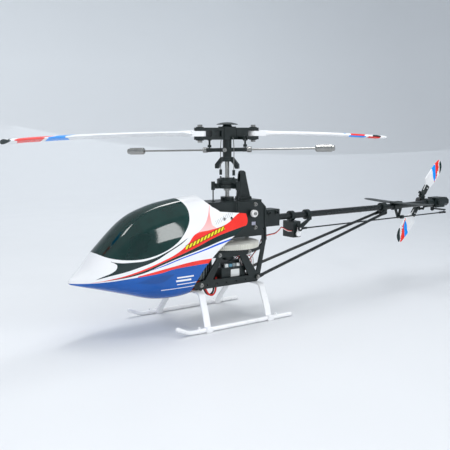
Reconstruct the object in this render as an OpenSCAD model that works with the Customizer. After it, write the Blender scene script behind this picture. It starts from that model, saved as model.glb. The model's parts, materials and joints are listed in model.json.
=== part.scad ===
// Remote control helicopter: single main rotor with a weighted flybar, shaft-driven tail rotor.
// +X is forward, +Y is to port (left), +Z is up. The rotor mast stands at x = mast_x.

/* [Main rotor] */
// Radius of the main rotor, mast to blade tip
rotor_radius = 270; // [266:1:274]
// Height of the blades at the hub above the floor
rotor_height = 218.8; // [218:0.2:220]
// Droop of each blade at its tip
blade_droop = 6.9; // [0:0.1:9]
// Chord of a main blade
blade_chord = 31; // [26:1:33]
// Diameter of the mast
mast_d = 5; // [4:0.5:5]

/* [Flybar] */
// Half length of the flybar, mast to the end of a weight
flybar_reach = 127.7; // [115:0.5:130]
// Angle of the flybar from the front blade, seen from above
flybar_turn = -52.4; // [-60:0.2:-45]
// Tilt of the flybar where it rests
flybar_rest_tilt = 1.35; // [0:0.05:3]

/* [Airframe] */
// Distance between the outer faces of the two side plates
frame_w = 36; // [36:0.5:37]
// Thickness of a side plate
plate_t = 2; // [1.6:0.1:2]
// Height of the boom's axis above the floor
boom_z = 113.6; // [113:0.1:114]
// Diameter of the tail boom
boom_d = 8; // [7.6:0.1:8.2]

/* [Landing gear] */
// Half the distance between the two skid tubes
skid_half = 53.7; // [50:0.1:56]
// Diameter of a skid tube
skid_d = 5; // [4:0.5:5]

/* [Canopy] */
// Thickness of the canopy's wall
canopy_wall = 1.2; // [1:0.1:1.4]

/* [Tail rotor] */
// Distance from the mast to the tail rotor's shaft
tail_arm = 390; // [385:1:392]
// Radius of the tail rotor
tail_radius = 75; // [70:1:78]
// Backward lean of the upper tail blade
tail_lean = 36.5; // [0:0.5:60]

/* [Gears] */
// Teeth on the main gear
gear_teeth = 100; // [90:1:110]
// Teeth on the motor pinion
pinion_teeth = 10; // [10:1:12]
// Tooth module
gear_module = 0.75; // [0.7:0.05:0.8]

/* [Hidden] */
$fn = 40;

fit = 0.05;                     // radial clearance of a running fit
gap = 0.4;                      // clearance between neighbouring moulded faces
mast_r = mast_d / 2;
plate_in = frame_w / 2 - plate_t;
tail_reach = tail_arm + 49.4;   // mast to the rearmost point of the tail blade
mast_x = (tail_reach - rotor_radius) / 2;
black = [0.05, 0.07, 0.07];
white = [0.95, 0.95, 0.95];
steel = [0.75, 0.76, 0.78];

// gear train
gear_r = gear_teeth * gear_module / 2;
pinion_r = pinion_teeth * gear_module / 2;
motor_x = gear_r + pinion_r;
gear_z = 84.5;
gear_t = 6;

// rotor head
spindle_z = rotor_height;
bolt_r = 1.5;
bolt_x = 39;
slot_low = spindle_z - 3.2;
slot_high = spindle_z + 3.2;
grip_low = spindle_z - 7;
grip_high = spindle_z + 7;
flybar_z = 199.7;
seesaw_reach = 22;
weight_len = 22;
column_r = 5.2;
column_low = 189.5;

// swashplate and its linkage
swash_z = 159;
ball_r = 6;
arm_reach = 20.6;
horn_arm = 11.4;
horn_z = 118;

// tail linkage
servo_x = -104;
servo_z = 91.5;
tail_horn_arm = 7;
rod_z = servo_z + tail_horn_arm;
rod_front = [servo_x, 15.5, rod_z];
lever_x = -tail_arm - 13.5;
lever_y = -14.2;
lever_long = 22;
rod_rear = [lever_x, lever_y + lever_long, rod_z];
tail_z = 114;
tail_y = -28;

// ---------- shared shapes ----------

module at_mast() translate([mast_x, 0, 0]) children();
module mirror_y() {
  children();
  mirror([0, 1, 0]) children();
}

// a round bar from point a to point b
module bar(a, b, r, n = 24) {
  d = b - a;
  len = norm(d);
  translate(a)
    rotate([0, acos(d[2] / len), atan2(d[1], d[0])])
      cylinder(r = r, h = len, $fn = n);
}

// a cylinder along Y, from y = from to y = to
module along_y(x, z, from, to, r, n = 32)
  translate([x, from, z]) rotate([-90, 0, 0]) cylinder(r = r, h = to - from, $fn = n);

// a cylinder along X
module along_x(y, z, from, to, r, n = 32)
  translate([from, y, z]) rotate([0, 90, 0]) cylinder(r = r, h = to - from, $fn = n);

// an outline in the XZ plane, extruded from y = from to y = to
module side_slab(points, from, to)
  translate([0, to, 0]) rotate([90, 0, 0]) linear_extrude(to - from) polygon(points);

// a box between two corners
module box(low, high) translate(low) cube(high - low);

// the rings of a solid skin, joined to a closed solid
function ring_faces(count, size) = [
  for (i = [0:count - 2]) for (j = [0:size - 1])
    [i * size + j, i * size + (j + 1) % size, (i + 1) * size + (j + 1) % size, (i + 1) * size + j],
  [for (j = [size - 1:-1:0]) j],
  [for (j = [0:size - 1]) (count - 1) * size + j]
];
module skin(rings)
  polyhedron([for (r = rings) each r], ring_faces(len(rings), len(rings[0])), convexity = 8);

// a smooth curve through hand-placed points, with n steps a span
function spline(p, n) = [
  for (i = [0:len(p) - 2]) for (k = [0:n - 1]) spline_at(p, i, k / n),
  p[len(p) - 1]
];
function spline_at(p, i, t) =
  let (a = p[max(i - 1, 0)], b = p[i], c = p[i + 1], d = p[min(i + 2, len(p) - 1)])
  ((2 * b) + (c - a) * t + (2 * a - 5 * b + 4 * c - d) * t * t
    + (3 * b - a - 3 * c + d) * t * t * t) / 2;

// a wire swept along a route
function unit(v) = v / norm(v);
function along(p, i) = unit(p[min(i + 1, len(p) - 1)] - p[max(i - 1, 0)]);
function sweep_ring(c, t, r, n) =
  let (s = unit(cross(t, abs(t[2]) > 0.9 ? [1, 0, 0] : [0, 0, 1])), u = cross(s, t))
  [for (k = [0:n - 1]) c + r * (cos(360 * k / n) * s + sin(360 * k / n) * u)];
module wire(route, r, steps = 3) {
  p = spline(route, steps);
  skin([for (i = [0:len(p) - 1]) sweep_ring(p[i], along(p, i), r, 8)]);
}

// a toothed disc; width is a tooth's share of the pitch at its foot
module toothed(teeth, m, h, foot_share = 0.54, tip_share = 0.24) {
  r = teeth * m / 2;
  step = 360 / teeth;
  root_r = r - 1.05 * m;
  tip_r = r + 0.8 * m;
  linear_extrude(h) polygon([
    for (i = [0:teeth - 1])
      for (c = [[root_r, -foot_share], [tip_r, -tip_share], [tip_r, tip_share], [root_r, foot_share]])
        c[0] * [cos(step * (i + c[1] / 2)), sin(step * (i + c[1] / 2))]
  ]);
}

// ---------- side plates ----------

screw_points = [[-29, 134.5], [-29, 106.5], [-20, 77.6], [24, 77.6], [-32, 45.5], [50, 45]];
post_points = [[-22.6, 124.2], [24, 121.3]];
post_ends = [27.5, 27.2];
post_flange = [2, 0.5];         // thickness of each post's inner flange

module side_plate() {
  difference() {
    side_slab([
      [-37, 138.5], [-44.5, 131.5], [-46, 90], [-36, 44], [-32, 40], [57, 40], [60, 43],
      [60, 48], [45, 50], [28, 73.8], [33, 77], [46, 77], [47.5, 126], [40, 138.5]
    ], plate_in, plate_in + plate_t);
    // slot that the main gear stands out through
    side_slab([[-40, 96], [-40, 86.5], [-35, 81.6], [39, 81.6], [39, 96]], plate_in - 1, 20);
    // large opening over the electronics
    side_slab([[-6, 74.2], [20, 74.2], [34, 49.6], [-19.5, 48.2]], plate_in - 1, 20);
    // rear triangle
    side_slab([[-15.5, 74.5], [-38.2, 79], [-31.2, 52]], plate_in - 1, 20);
    for (p = screw_points) along_y(p[0], p[1], plate_in - 1, 20, 1.55, 20);
    for (p = post_points) along_y(p[0], p[1], plate_in - 1, 20, 1.85, 20);
    along_y(-41.4, 103.3, plate_in - 1, 20, 1.2, 20);
    for (x = [-14:14:42]) along_y(x, 44, plate_in - 1, 20, 1, 20);
  }
  // raised rim along the rear edge
  side_slab([[-44.5, 131], [-46, 90], [-43.4, 90], [-42.6, 131]], plate_in + plate_t, plate_in + plate_t + 1);
}
module frame_left() at_mast() color(black) {
  difference() {
    side_plate();
    // passage of the aileron servo's output
    along_y(horn_arm, horn_z, plate_in - 1, 20, 3.6, 24);
  }
}
module frame_right() at_mast() color(black) mirror([0, 1, 0]) side_plate();

// ---------- cross blocks ----------

// upper deck, moulded in one with the guide that keeps the lower swashplate ring from turning
module mast_block() at_mast() color(black) {
  difference() {
    union() {
      box([-40, -plate_in, 134], [34, plate_in, 139.5]);
      translate([0, 0, 132.5]) cylinder(r = 8, h = 11.5);
      box([-38, -plate_in, 131], [-20, plate_in, 134]);
      // pointed front lip of the deck
      translate([0, 0, 136.5]) linear_extrude(3)
        polygon([[33, -plate_in], [45, -7], [45, 7], [33, plate_in]]);
    }
    translate([0, 0, 131]) cylinder(r = mast_r + gap, h = 14);
    for (z = [132.4, 140.6]) translate([0, 0, z]) cylinder(r = 5, h = 3.5);
    // passage of the elevator rod
    translate([arm_reach, 0, 133]) cylinder(r = 3.4, h = 8, $fn = 32);
    screw_bores(0);
  }
  mirror_y() {
    side_slab([[-15.5, 139], [-18.4, 170], [-19.6, 173.4], [-22.4, 174.4], [-25.2, 172.6], [-26, 168], [-33.5, 139]],
      1.7, 3.3);
    side_slab([[-15.5, 139], [-15.9, 143], [-32.5, 143], [-33.5, 139]], 3.2, 5.5);
  }
  side_slab([[-24.2, 170.4], [-19.4, 170.4], [-20, 173.4], [-22.4, 174.4], [-24.8, 172.8]], -1.8, 1.8);
}

// blind bores for the pair of screws at one screw point
module screw_bores(i) mirror_y()
  along_y(screw_points[i][0], screw_points[i][1], plate_in - 5, plate_in + 1, 1.02, 20);

module motor_mount() at_mast() color(black) difference() {
  union() {
    box([-24, -plate_in, 74.6], [44, plate_in, 78.8]);
    box([43, -14, 75.2], [56, 14, 78.8]);
    translate([0, 0, 68.5]) cylinder(r = 8, h = 11.5);
  }
  translate([0, 0, 67]) cylinder(r = mast_r + gap, h = 14);
  for (z = [68.4, 76.6]) translate([0, 0, z]) cylinder(r = 5, h = 3.5);
  translate([motor_x, 0, 74]) cylinder(r = 4, h = 6);
  for (i = [2, 3]) screw_bores(i);
}

module mast_bearings() at_mast() color(steel)
  for (z = [68.5, 76.7, 132.5, 140.7]) translate([0, 0, z]) difference() {
    cylinder(r = 4.98, h = 3.2);
    translate([0, 0, -1]) cylinder(r = mast_r + fit, h = 6);
  }

module floor_tray() at_mast() color(black) {
  difference() {
    box([-33, -plate_in, 40], [43.5, plate_in, 42.6]);
    for (x = [-26, 4]) translate([x, 0, 39]) cylinder(r = 1.05, h = 5, $fn = 20);
    for (x = [-10, 0, 10, 21, 39.5]) box([x - 2.5, -9, 39], [x + 2.5, 9, 44]);
  }
  // step down to the battery shelf
  box([43.4, -10, 36.6], [45, 10, 42.6]);
  box([43.4, -10, 36.6], [98, 10, 37.9]);
}

// cross posts, screws with washers, and the posts that the canopy slips on
module frame_fixings() at_mast() color(steel) {
  difference() {
    along_y(screw_points[4][0], screw_points[4][1], -plate_in, plate_in, 2.4);
    screw_bores(4);
  }
  // short threaded bosses beside the battery
  mirror_y() difference() {
    along_y(screw_points[5][0], screw_points[5][1], 11.3, plate_in, 2.4);
    screw_bores(5);
  }
  for (i = [0:5]) mirror_y() fixing_screw(screw_points[i], i == 4 ? plate_in + plate_t + 1.8 : plate_in + plate_t);
  for (i = [0, 1]) mirror_y() {
    along_y(post_points[i][0], post_points[i][1], plate_in - post_flange[i], post_ends[i], 1.8, 24);
    along_y(post_points[i][0], post_points[i][1], plate_in - post_flange[i], plate_in, 3.2, 24);
  }
}
module fixing_screw(p, seat) difference() {
  union() {
    along_y(p[0], p[1], plate_in - 4, seat, 1, 20);
    along_y(p[0], p[1], seat, seat + 0.5, 2.6);
    along_y(p[0], p[1], seat + 0.5, seat + 2, 1.9);
  }
  along_y(p[0], p[1], seat + 1.2, seat + 3, 0.9, 6);
}

module boom_block() at_mast() color(black) difference() {
  union() {
    box([-75, -9, 104], [-46.6, 9, 125]);
    box([-46.6, -14, 102.5], [-27.5, 14, 126]);
    mirror_y() box([-43, 14, 102.5], [-27.5, plate_in, 110]);
    for (x = [-70, -58]) mirror_y() along_y(x, 121, 9, 10.6, 2.6);
  }
  along_x(0, boom_z, -80, -34, boom_d / 2 + 0.02, 40);
  along_x(0, boom_z, -36, -26, 2.2, 24);
  box([-76, -0.6, boom_z], [-46.6, 0.6, 126]);
  for (x = [-70, -58]) along_y(x, 121, -12, 12, 1.3, 20);
  screw_bores(1);
}

// ---------- canopy ----------

// top, belly, and half width of the hull at stations along X
hull_x = [206.2, 205, 200, 190, 172, 140, 110, 80, 55, 35, 15, -14];
hull_top = [65.0, 67.5, 71, 79.5, 99, 127.5, 140, 145.6, 148, 149, 148, 146];
hull_low = [64.0, 62.5, 60.8, 58, 53, 43.5, 35, 33, 36, 39, 41, 44];
hull_w = [0.8, 3.2, 8.5, 15.5, 24, 31, 34, 35, 34.5, 33.5, 32.5, 31];
hull_steps = 3;
hull_size = 48;
function curl(v, p) = sign(v) * pow(abs(v), p);
function hull_ring(x, top, low, w, wall) =
  let (mid = low + (top - low) * 0.42)
  [for (k = [0:hull_size - 1]) let (a = 360 * k / hull_size, s = sin(a), c = cos(a))
    [x, (w - wall) * curl(c, s > 0 ? 0.95 : 0.87),
      mid + (s > 0 ? top - mid - wall : mid - low - wall) * curl(s, s > 0 ? 0.95 : 0.87)]];
// the shell's outer skin and inner skin, joined at the open back
module hull_shell() {
  pts = spline([for (i = [0:len(hull_x) - 1]) [hull_x[i], hull_top[i], hull_low[i], hull_w[i]]], hull_steps);
  n = len(pts);
  skin(concat(
    [for (i = [0:n - 1]) hull_ring(pts[i][0], pts[i][1], pts[i][2], pts[i][3], 0)],
    [for (i = [n - 1:-1:2 * hull_steps]) hull_ring(pts[i][0], pts[i][1], pts[i][2], pts[i][3], canopy_wall)]
  ));
}
// what the canopy covers, seen from the side
canopy_edge = [[-8.5, 140], [-9.7, 126], [-8.3, 113.5], [8.6, 103.2], [31.6, 90], [46.6, 77.8],
  [56, 68], [61.4, 59.4], [66, 47.7], [67, 30]];
window_edge = [[182, 97], [171, 90.5], [152, 86.8], [130, 87.0], [107, 92.8], [88, 103.5],
  [74.5, 119], [70.5, 131], [71.5, 140], [77, 150]];
notch_half = 24.5;
module window_cut() side_slab(concat(spline(window_edge, 3), [[90, 170], [190, 170]]), -50, 50);
module canopy() at_mast() color(white) difference() {
  hull_shell();
  // the open back
  side_slab(concat(spline(canopy_edge, 2), [[-40, 20], [-40, 160], [-8.5, 160]]), -50, 50);
  // the notch over the deck
  translate([0, 0, 100]) linear_extrude(70) polygon([
    [-40, -notch_half], [28, -notch_half], [43, -17], [48, -6.3], [48, 6.3], [43, 17], [28, notch_half], [-40, notch_half]
  ]);
  window_cut();
  for (x = [13.3, 24]) mirror_y() along_y(x, 121.3, 20, 40, 1.87, 24);
}
module canopy_window() at_mast() color([0.02, 0.16, 0.14]) intersection() {
  hull_shell();
  window_cut();
}

module canopy_grommets() at_mast() color(white) mirror_y() difference() {
  union() {
    along_y(post_points[0][0], post_points[0][1], 20.5, 25.5, 3.1, 32);
    along_y(post_points[0][0], post_points[0][1], 22, 23.2, 4.3, 32);
    along_y(post_points[0][0], post_points[0][1], 24.6, 25.6, 4.3, 32);
  }
  along_y(post_points[0][0], post_points[0][1], 19, 27, 1.82, 24);
}

// ---------- landing gear ----------

leg_x = [65.1, -22.6];
leg_lean = 7.5;
leg_w = 8.5;
leg_t = 2.6;
foot_h = 6.4;
// centre line of a leg from the middle of the cross piece to its foot, seen from the front
leg_path = [[24, 38.7], [29, 37], [32.6, 32.4], [44, 17], [skid_half - 2.4, foot_h - 1.5]];
module leg(x, inner) {
  p = concat([[inner, 38.7]], spline(leg_path, 3));
  lean = [for (q = p) x - leg_lean * min(1, max(0, (q[1] - 4) / 34))];
  mirror_y() skin([for (i = [0:len(p) - 1])
    let (t = i < 2 ? [1, 0] : along(p, i), n = [-t[1], t[0]] * leg_t / 2)
    [
      [lean[i] - leg_w / 2, p[i][0] - n[0], p[i][1] - n[1]],
      [lean[i] + leg_w / 2, p[i][0] - n[0], p[i][1] - n[1]],
      [lean[i] + leg_w / 2, p[i][0] + n[0], p[i][1] + n[1]],
      [lean[i] - leg_w / 2, p[i][0] + n[0], p[i][1] + n[1]]
    ]
  ]);
  // foot block that the tube passes through; its underside is flat
  mirror_y() difference() {
    box([x - leg_w / 2, skid_half - 3.6, 0], [x + leg_w / 2, skid_half + 3.6, foot_h]);
    along_x(skid_half, 3, x - 10, x + 10, skid_d / 2 + 0.02, 40);
  }
}
// the front legs meet the plates at either side of the battery; the rear ones are one bow
module landing_legs() at_mast() color(white) {
  leg(leg_x[0], 12.6);
  leg(leg_x[1], 0);
}

tip_bend = 24;
tip_r = 24;
tip_from = 86;
module skid_tubes() at_mast() color(white) mirror_y() translate([0, skid_half, 3]) {
  along_x(0, 0, -54.8, tip_from, skid_d / 2, 40);
  // upturned front end
  translate([tip_from, 0, tip_r]) rotate([90, 0, 0]) rotate([0, 0, -90])
    rotate_extrude(angle = tip_bend, $fn = 96) translate([tip_r, 0]) circle(r = skid_d / 2, $fn = 32);
  translate([tip_from + tip_r * sin(tip_bend), 0, tip_r - tip_r * cos(tip_bend)]) rotate([0, 90 - tip_bend, 0]) {
    cylinder(r = skid_d / 2, h = 11, $fn = 40);
    translate([0, 0, 11]) sphere(r = skid_d / 2, $fn = 40);
  }
  translate([-54.8, 0, 0]) sphere(r = skid_d / 2, $fn = 40);
  // round lugs that stop the tube in its feet
  for (x = [77.5, -32]) {
    along_x(0, 0, x - 1.5, x + 1.5, skid_d / 2 + 0.45, 40);
    translate([x, 0, 0]) cylinder(r = 1.4, h = 4.6, $fn = 24);
  }
}

// ---------- motor and electrics ----------

motor_low = 49.5;
motor_top = 74.6;
module motor() at_mast() color([0.6, 0.6, 0.62]) translate([motor_x, 0, 0]) difference() {
  union() {
    translate([0, 0, motor_low]) cylinder(r = 11.9, h = motor_top - motor_low);
    translate([0, 0, motor_top]) cylinder(r = 3.8, h = 3.5);
  }
  translate([0, 0, motor_low + 2]) cylinder(r = 1.25, h = 40, $fn = 24);
}
fins = 26;
module heat_sink() at_mast() color([0.35, 0.38, 0.38]) translate([motor_x, 0, motor_low + 1.5]) difference() {
  union() {
    cylinder(r = 12.9, h = 21);
    for (i = [0:fins - 1]) rotate(360 * (i + 0.5) / fins) translate([12.4, -0.55, 0]) cube([2.7, 1.1, 21]);
  }
  translate([0, 0, -1]) cylinder(r = 11.92, h = 30);
}
module pinion() at_mast() color([0.75, 0.6, 0.3]) translate([motor_x, 0, 0]) {
  translate([0, 0, motor_low + 2.5]) cylinder(r = 1.2, h = 92 - motor_low - 2.5, $fn = 24);
  difference() {
    // the teeth face the main gear half a pitch out of step, so that they mesh
    translate([0, 0, gear_z - 1]) rotate(180 + 180 / pinion_teeth) toothed(pinion_teeth, gear_module, gear_t + 1.5);
    translate([0, 0, gear_z - 3]) cylinder(r = 1.2, h = 20, $fn = 24);
  }
}

module main_gear() at_mast() color([0.86, 0.86, 0.8]) {
  difference() {
    union() {
      translate([0, 0, gear_z]) toothed(gear_teeth, gear_module, gear_t);
      translate([0, 0, gear_z - 3]) cylinder(r = 8, h = 10.5);
    }
    translate([0, 0, gear_z - 5]) cylinder(r = mast_r + 0.02, h = 20);
    translate([0, 0, gear_z - 1]) difference() {
      cylinder(r = gear_r - 5, h = 2.6, $fn = 96);
      cylinder(r = 9.5, h = 2.6);
    }
  }
}

module electronics() at_mast() color(black) {
  difference() {
    box([-17, -13.5, 42.9], [18, 13.5, 60.5]);
    mirror_y() box([-14, 13, 46], [8, 14, 58]);
  }
  box([-12, -9, 60.7], [4, 9, 67.6]);
}

battery_x = 46.2;
battery_low = 38.4;
module battery() at_mast() color([0.85, 0.3, 0.15]) difference() {
  box([battery_x, -11, battery_low], [112, 11, 48.4]);
  for (z = [battery_low, 48.4]) mirror_y() translate([battery_x - 1, 11, z]) rotate([0, 90, 0]) cylinder(r = 2, h = 80, $fn = 4);
}

// rubber-covered leads, held at both ends
battery_route = [[battery_x, 5, 44], [41.5, 5.5, 43.5], [37.5, 7, 38], [33.5, 8, 31], [28, 8, 28.8],
  [23.5, 7.5, 32], [21.5, 6.5, 38.5], [20.8, 5, 45.5], [19, 4, 48.6]];
servo_route = [[servo_x + 6, 6, 95], [-91, 6.5, 96], [-84, 8, 99], [-78, 9, 101.2], [-73, 10, 98],
  [-66, 11, 95], [-56, 12, 94.2], [-47.5, 12.5, 93], [-42, 12.5, 88.5], [-39.8, 12, 81.5], [-33.5, 10.5, 73.5],
  [-27, 9, 65.5], [-17.9, 8, 57.7]];
module leads() at_mast() color([0.6, 0.1, 0.1]) {
  wire(battery_route, 1.1);
  wire([for (p = battery_route) p + [0, -4.2, 0]], 1.1);
  wire(servo_route, 1.1, 2);
  for (y = [-6, -2, 2]) wire([[-17.4, y, 50], [-22, y * 1.1, 52], [-27, y * 1.2, 58], [-24, y * 1.2, 66],
    [-18, y, 69], [-12.6, y, 65]], 0.7);
}

// ---------- main rotor ----------

module mast() at_mast() color(steel) difference() {
  translate([0, 0, 68]) cylinder(r = mast_r, h = flybar_z - 4 - 68);
  // cross hole of the bolt that drives the gear
  along_y(0, gear_z - 1.2, -5, 5, 0.75, 20);
}
crown_r = 15.5;
crown_teeth = 46;
front_pinion_r = 2.4;
crown_top = boom_z - front_pinion_r - 0.15;
// gear on the mast that turns the long shaft to the tail
module crown_gear() at_mast() color([0.86, 0.86, 0.8]) difference() {
  union() {
    translate([0, 0, crown_top - 5]) cylinder(r = crown_r, h = 3.8, $fn = 96);
    translate([0, 0, crown_top - 8.5]) cylinder(r = 6.4, h = 7);
    for (i = [0:crown_teeth - 1]) rotate(360 * i / crown_teeth)
      translate([crown_r - 4.4, -0.4, crown_top - 1.4]) cube([4, 0.8, 1.4]);
  }
  translate([0, 0, 90]) cylinder(r = mast_r + 0.02, h = 40);
  translate([0, 0, crown_top - 2.6]) difference() {
    cylinder(r = crown_r - 5.2, h = 2.8, $fn = 96);
    cylinder(r = 7.4, h = 2.8);
  }
}

driver_reach = 12.6;
module rotor_hub() at_mast() color(black) {
  difference() {
    union() {
      translate([0, 0, column_low]) cylinder(r = column_r, h = 24);
      box([-8.6, -6.2, grip_low], [8.6, 6.2, grip_high + 1.2]);
      translate([0, 0, grip_high + 1.2]) cylinder(r1 = 6, r2 = 4.6, h = 2.4);
      // the driver's two arms, sloping down from the foot of the column
      rotate(flybar_turn) {
        translate([0, 0, column_low - 3.5]) cylinder(r = 7.2, h = 5.2);
        for (s = [0, 180]) rotate(s) side_slab([[4, column_low + 1.5], [7.5, column_low + 1.5],
          [driver_reach + 1.8, column_low - 7], [driver_reach + 1.8, column_low - 12],
          [driver_reach - 2.2, column_low - 12], [driver_reach - 3.4, column_low - 8],
          [5.2, column_low - 3.5], [4, column_low - 3.5]], -3.1, 3.1);
      }
    }
    translate([0, 0, 170]) cylinder(r = mast_r + 0.02, h = flybar_z - 3.8 - 170);
    along_x(0, spindle_z, -20, 20, 2.02);
    // slot for the flybar's swing and bore of its pivot
    rotate(flybar_turn) {
      box([-12, -1.7, flybar_z - 2.9], [12, 1.7, flybar_z + 2.9]);
      along_y(0, flybar_z, -12, 12, 1.5 + fit);
    }
    // pocket of the button's screw
    translate([0, 0, grip_high - 3]) cylinder(r = 1.02, h = 10, $fn = 20);
  }
  // bosses that the two mixing wires end in
  for (s = [-1, 1]) translate([-2 * s, s * 6.2, 209.5 + 5]) rotate([-90 * s, 0, 0]) cylinder(r = 1.5, h = 1.6, $fn = 24);
}

module head_button() at_mast() color(black) difference() {
  union() {
    rotate_extrude($fn = 64) polygon([[0, 229.6], [4.2, 229.6], [5.5, 230], [12.6, 229.2], [12.6, 229.9],
      [9.4, 230.9], [5.6, 231.8], [0, 232.2]]);
    translate([0, 0, grip_high - 2]) cylinder(r = 1, h = 6, $fn = 20);
  }
  translate([0, 0, 231.2]) cylinder(r = 1.4, h = 3, $fn = 6);
}

module spindle() at_mast() color(steel) {
  along_x(0, spindle_z, -24, 24, 2);
  for (s = [-1, 1]) along_x(0, spindle_z, s > 0 ? 24 : -25.5, s > 0 ? 25.5 : -24, 3.2);
}

wire_side = 10.4;
wire_shift = 2;
module mixing_wires() at_mast() color(steel) for (s = [0, 180]) rotate(s) {
  wire([[-wire_shift, wire_side, 172.4], [-wire_shift, wire_side, 180], [-wire_shift, wire_side + 0.3, 190],
    [-wire_shift, wire_side + 0.4, 200], [-wire_shift, wire_side - 0.2, 207], [-wire_shift, wire_side - 1, 212],
    [-wire_shift, wire_side - 1.95, 214.5]], 0.5);
  // moulded ball links over the upper ring's posts
  translate([-wire_shift, wire_side, 169.6]) difference() {
    cylinder(r = 1.7, h = 6.4, $fn = 24);
    translate([0, 0, 2.8]) cylinder(r = 0.52, h = 5, $fn = 24);
  }
}

// a blade grip, drawn for the front side
lever_side = seesaw_reach * sin(-flybar_turn);
lever_out = seesaw_reach * cos(flybar_turn);
module grip() {
  difference() {
    union() {
      box([9.2, -6, grip_low], [27.5, 6, grip_high]);
      for (z = [[grip_low, slot_low], [slot_high, grip_high]]) {
        box([25, -6.4, z[0]], [bolt_x, 6.4, z[1]]);
        translate([bolt_x, 0, z[0]]) cylinder(r = 6.9, h = z[1] - z[0]);
        // thicker seat under the bolt's head and nut
        translate([bolt_x, 0, z[0] < spindle_z - 4 ? z[0] - 0.8 : z[1]]) cylinder(r = 4.6, h = 0.8);
      }
      // lever that the flybar's link holds
      box([lever_out - 2.2, -lever_side + 2.6, grip_low], [lever_out + 2.2, -5, grip_low + 3.6]);
      along_y(lever_out, grip_low + 1.8, -lever_side, -lever_side + 3, 0.6, 20);
      translate([lever_out, -lever_side, grip_low + 1.8]) sphere(r = 1.2, $fn = 24);
    }
    along_x(0, spindle_z, 0, 23.9, 2 + fit);
    along_x(0, spindle_z, 23.8, 26, 3.6);
    translate([bolt_x, 0, 200]) cylinder(r = bolt_r + 0.02, h = 40);
    // room for the blade's root
    box([26.6, -9, slot_low], [60, 9, slot_high]);
    // lightening pocket
    box([12.5, 3.6, spindle_z - 3.6], [22, 7, spindle_z + 3.6]);
  }
}
module grip_front() at_mast() color(black) grip();
module grip_rear() at_mast() color(black) rotate(180) grip();

module blade_bolt() translate([bolt_x, 0, 0]) {
  translate([0, 0, grip_low - 2.6]) cylinder(r = bolt_r, h = grip_high - grip_low + 4, $fn = 32);
  difference() {
    translate([0, 0, grip_high + 0.8]) cylinder(r = 2.9, h = 2.6, $fn = 32);
    translate([0, 0, grip_high + 2]) cylinder(r = 1.4, h = 3, $fn = 6);
  }
  translate([0, 0, grip_low - 3.2]) cylinder(r = 3.1, h = 2.4, $fn = 6);
}
module bolt_front() at_mast() color(steel) blade_bolt();
module bolt_rear() at_mast() color(steel) rotate(180) blade_bolt();

// half thickness of a blade's section, as a share of its chord
function foil(x, t) = 5 * t * (0.2969 * sqrt(x) - 0.126 * x - 0.3516 * x * x + 0.2843 * pow(x, 3) - 0.1036 * pow(x, 4));
foil_x = [0, 0.012, 0.05, 0.12, 0.25, 0.42, 0.6, 0.8, 1];
function foil_ring(x, chord, t, lead, z, pitch) = [
  for (p = concat([for (q = foil_x) [q, 1]], [for (i = [len(foil_x) - 2:-1:1]) [foil_x[i], -1]]))
    let (y = p[0] * chord - lead, h = p[1] * (foil(p[0], t) * chord + 0.15) + (p[1] > 0 ? 0.3 : 0) * foil(p[0], t) * chord)
    [x, y * cos(pitch) + h * sin(pitch), z - y * sin(pitch) + h * cos(pitch)]
];
blade_from = 52;
module main_blade(pitch) {
  lead = 9.5;
  n = 22;
  difference() {
    union() {
      translate([bolt_x, 0, spindle_z - 3]) cylinder(r = 6.6, h = 6);
      box([bolt_x, -6.6, spindle_z - 3], [blade_from, 6.6, spindle_z + 3]);
    }
    translate([bolt_x, 0, 200]) cylinder(r = bolt_r + fit, h = 40);
  }
  skin([for (i = [0:n])
    let (
      s = i / n,
      x = blade_from + (rotor_radius - blade_from) * s,
      grow = min(1, (x - blade_from) / 26),
      ease = grow * grow * (3 - 2 * grow),
      chord = 13.2 + (blade_chord - 13.2) * ease - (s > 0.97 ? (s - 0.97) * 100 : 0),
      t = (5.6 - 1.6 * ease) / chord,
      z = spindle_z - blade_droop * s * s
    )
    foil_ring(x, chord, t, 6.6 + (lead - 6.6) * ease, z, pitch * ease)
  ]);
}
module blade_front() at_mast() color(white) main_blade(-4.5);
module blade_rear() at_mast() color(white) rotate(180) main_blade(-0.5);

// ---------- flybar ----------

module at_flybar() at_mast() rotate(flybar_turn) translate([0, 0, flybar_z]) rotate([0, flybar_rest_tilt, 0]) children();
module seesaw() color(black) at_flybar() {
  difference() {
    union() {
      cylinder(r = 9, h = 4.4, center = true);
      for (s = [0, 180]) rotate(s) {
        box([7, -2.4, -2.2], [seesaw_reach - 2.4, 2.4, 2.2]);
        translate([seesaw_reach, 0, 0]) rotate([0, 90, 0]) cylinder(r = 2.5, h = 5, center = true, $fn = 32);
      }
    }
    cylinder(r = 6.3, h = 10, center = true);
    rotate([0, 90, 0]) cylinder(r = 1.12, h = 60, center = true, $fn = 24);
    // the links' balls sit on posts beside the bar
    rotate([90, 0, 0]) cylinder(r = 1.5 + 0.02, h = 30, center = true, $fn = 32);
  }
  for (s = [0, 180]) rotate(s) translate([seesaw_reach, 0, 2.4]) {
    cylinder(r = 0.7, h = 1.6, $fn = 20);
    translate([0, 0, 2.2]) sphere(r = 1.4, $fn = 24);
  }
}
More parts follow.
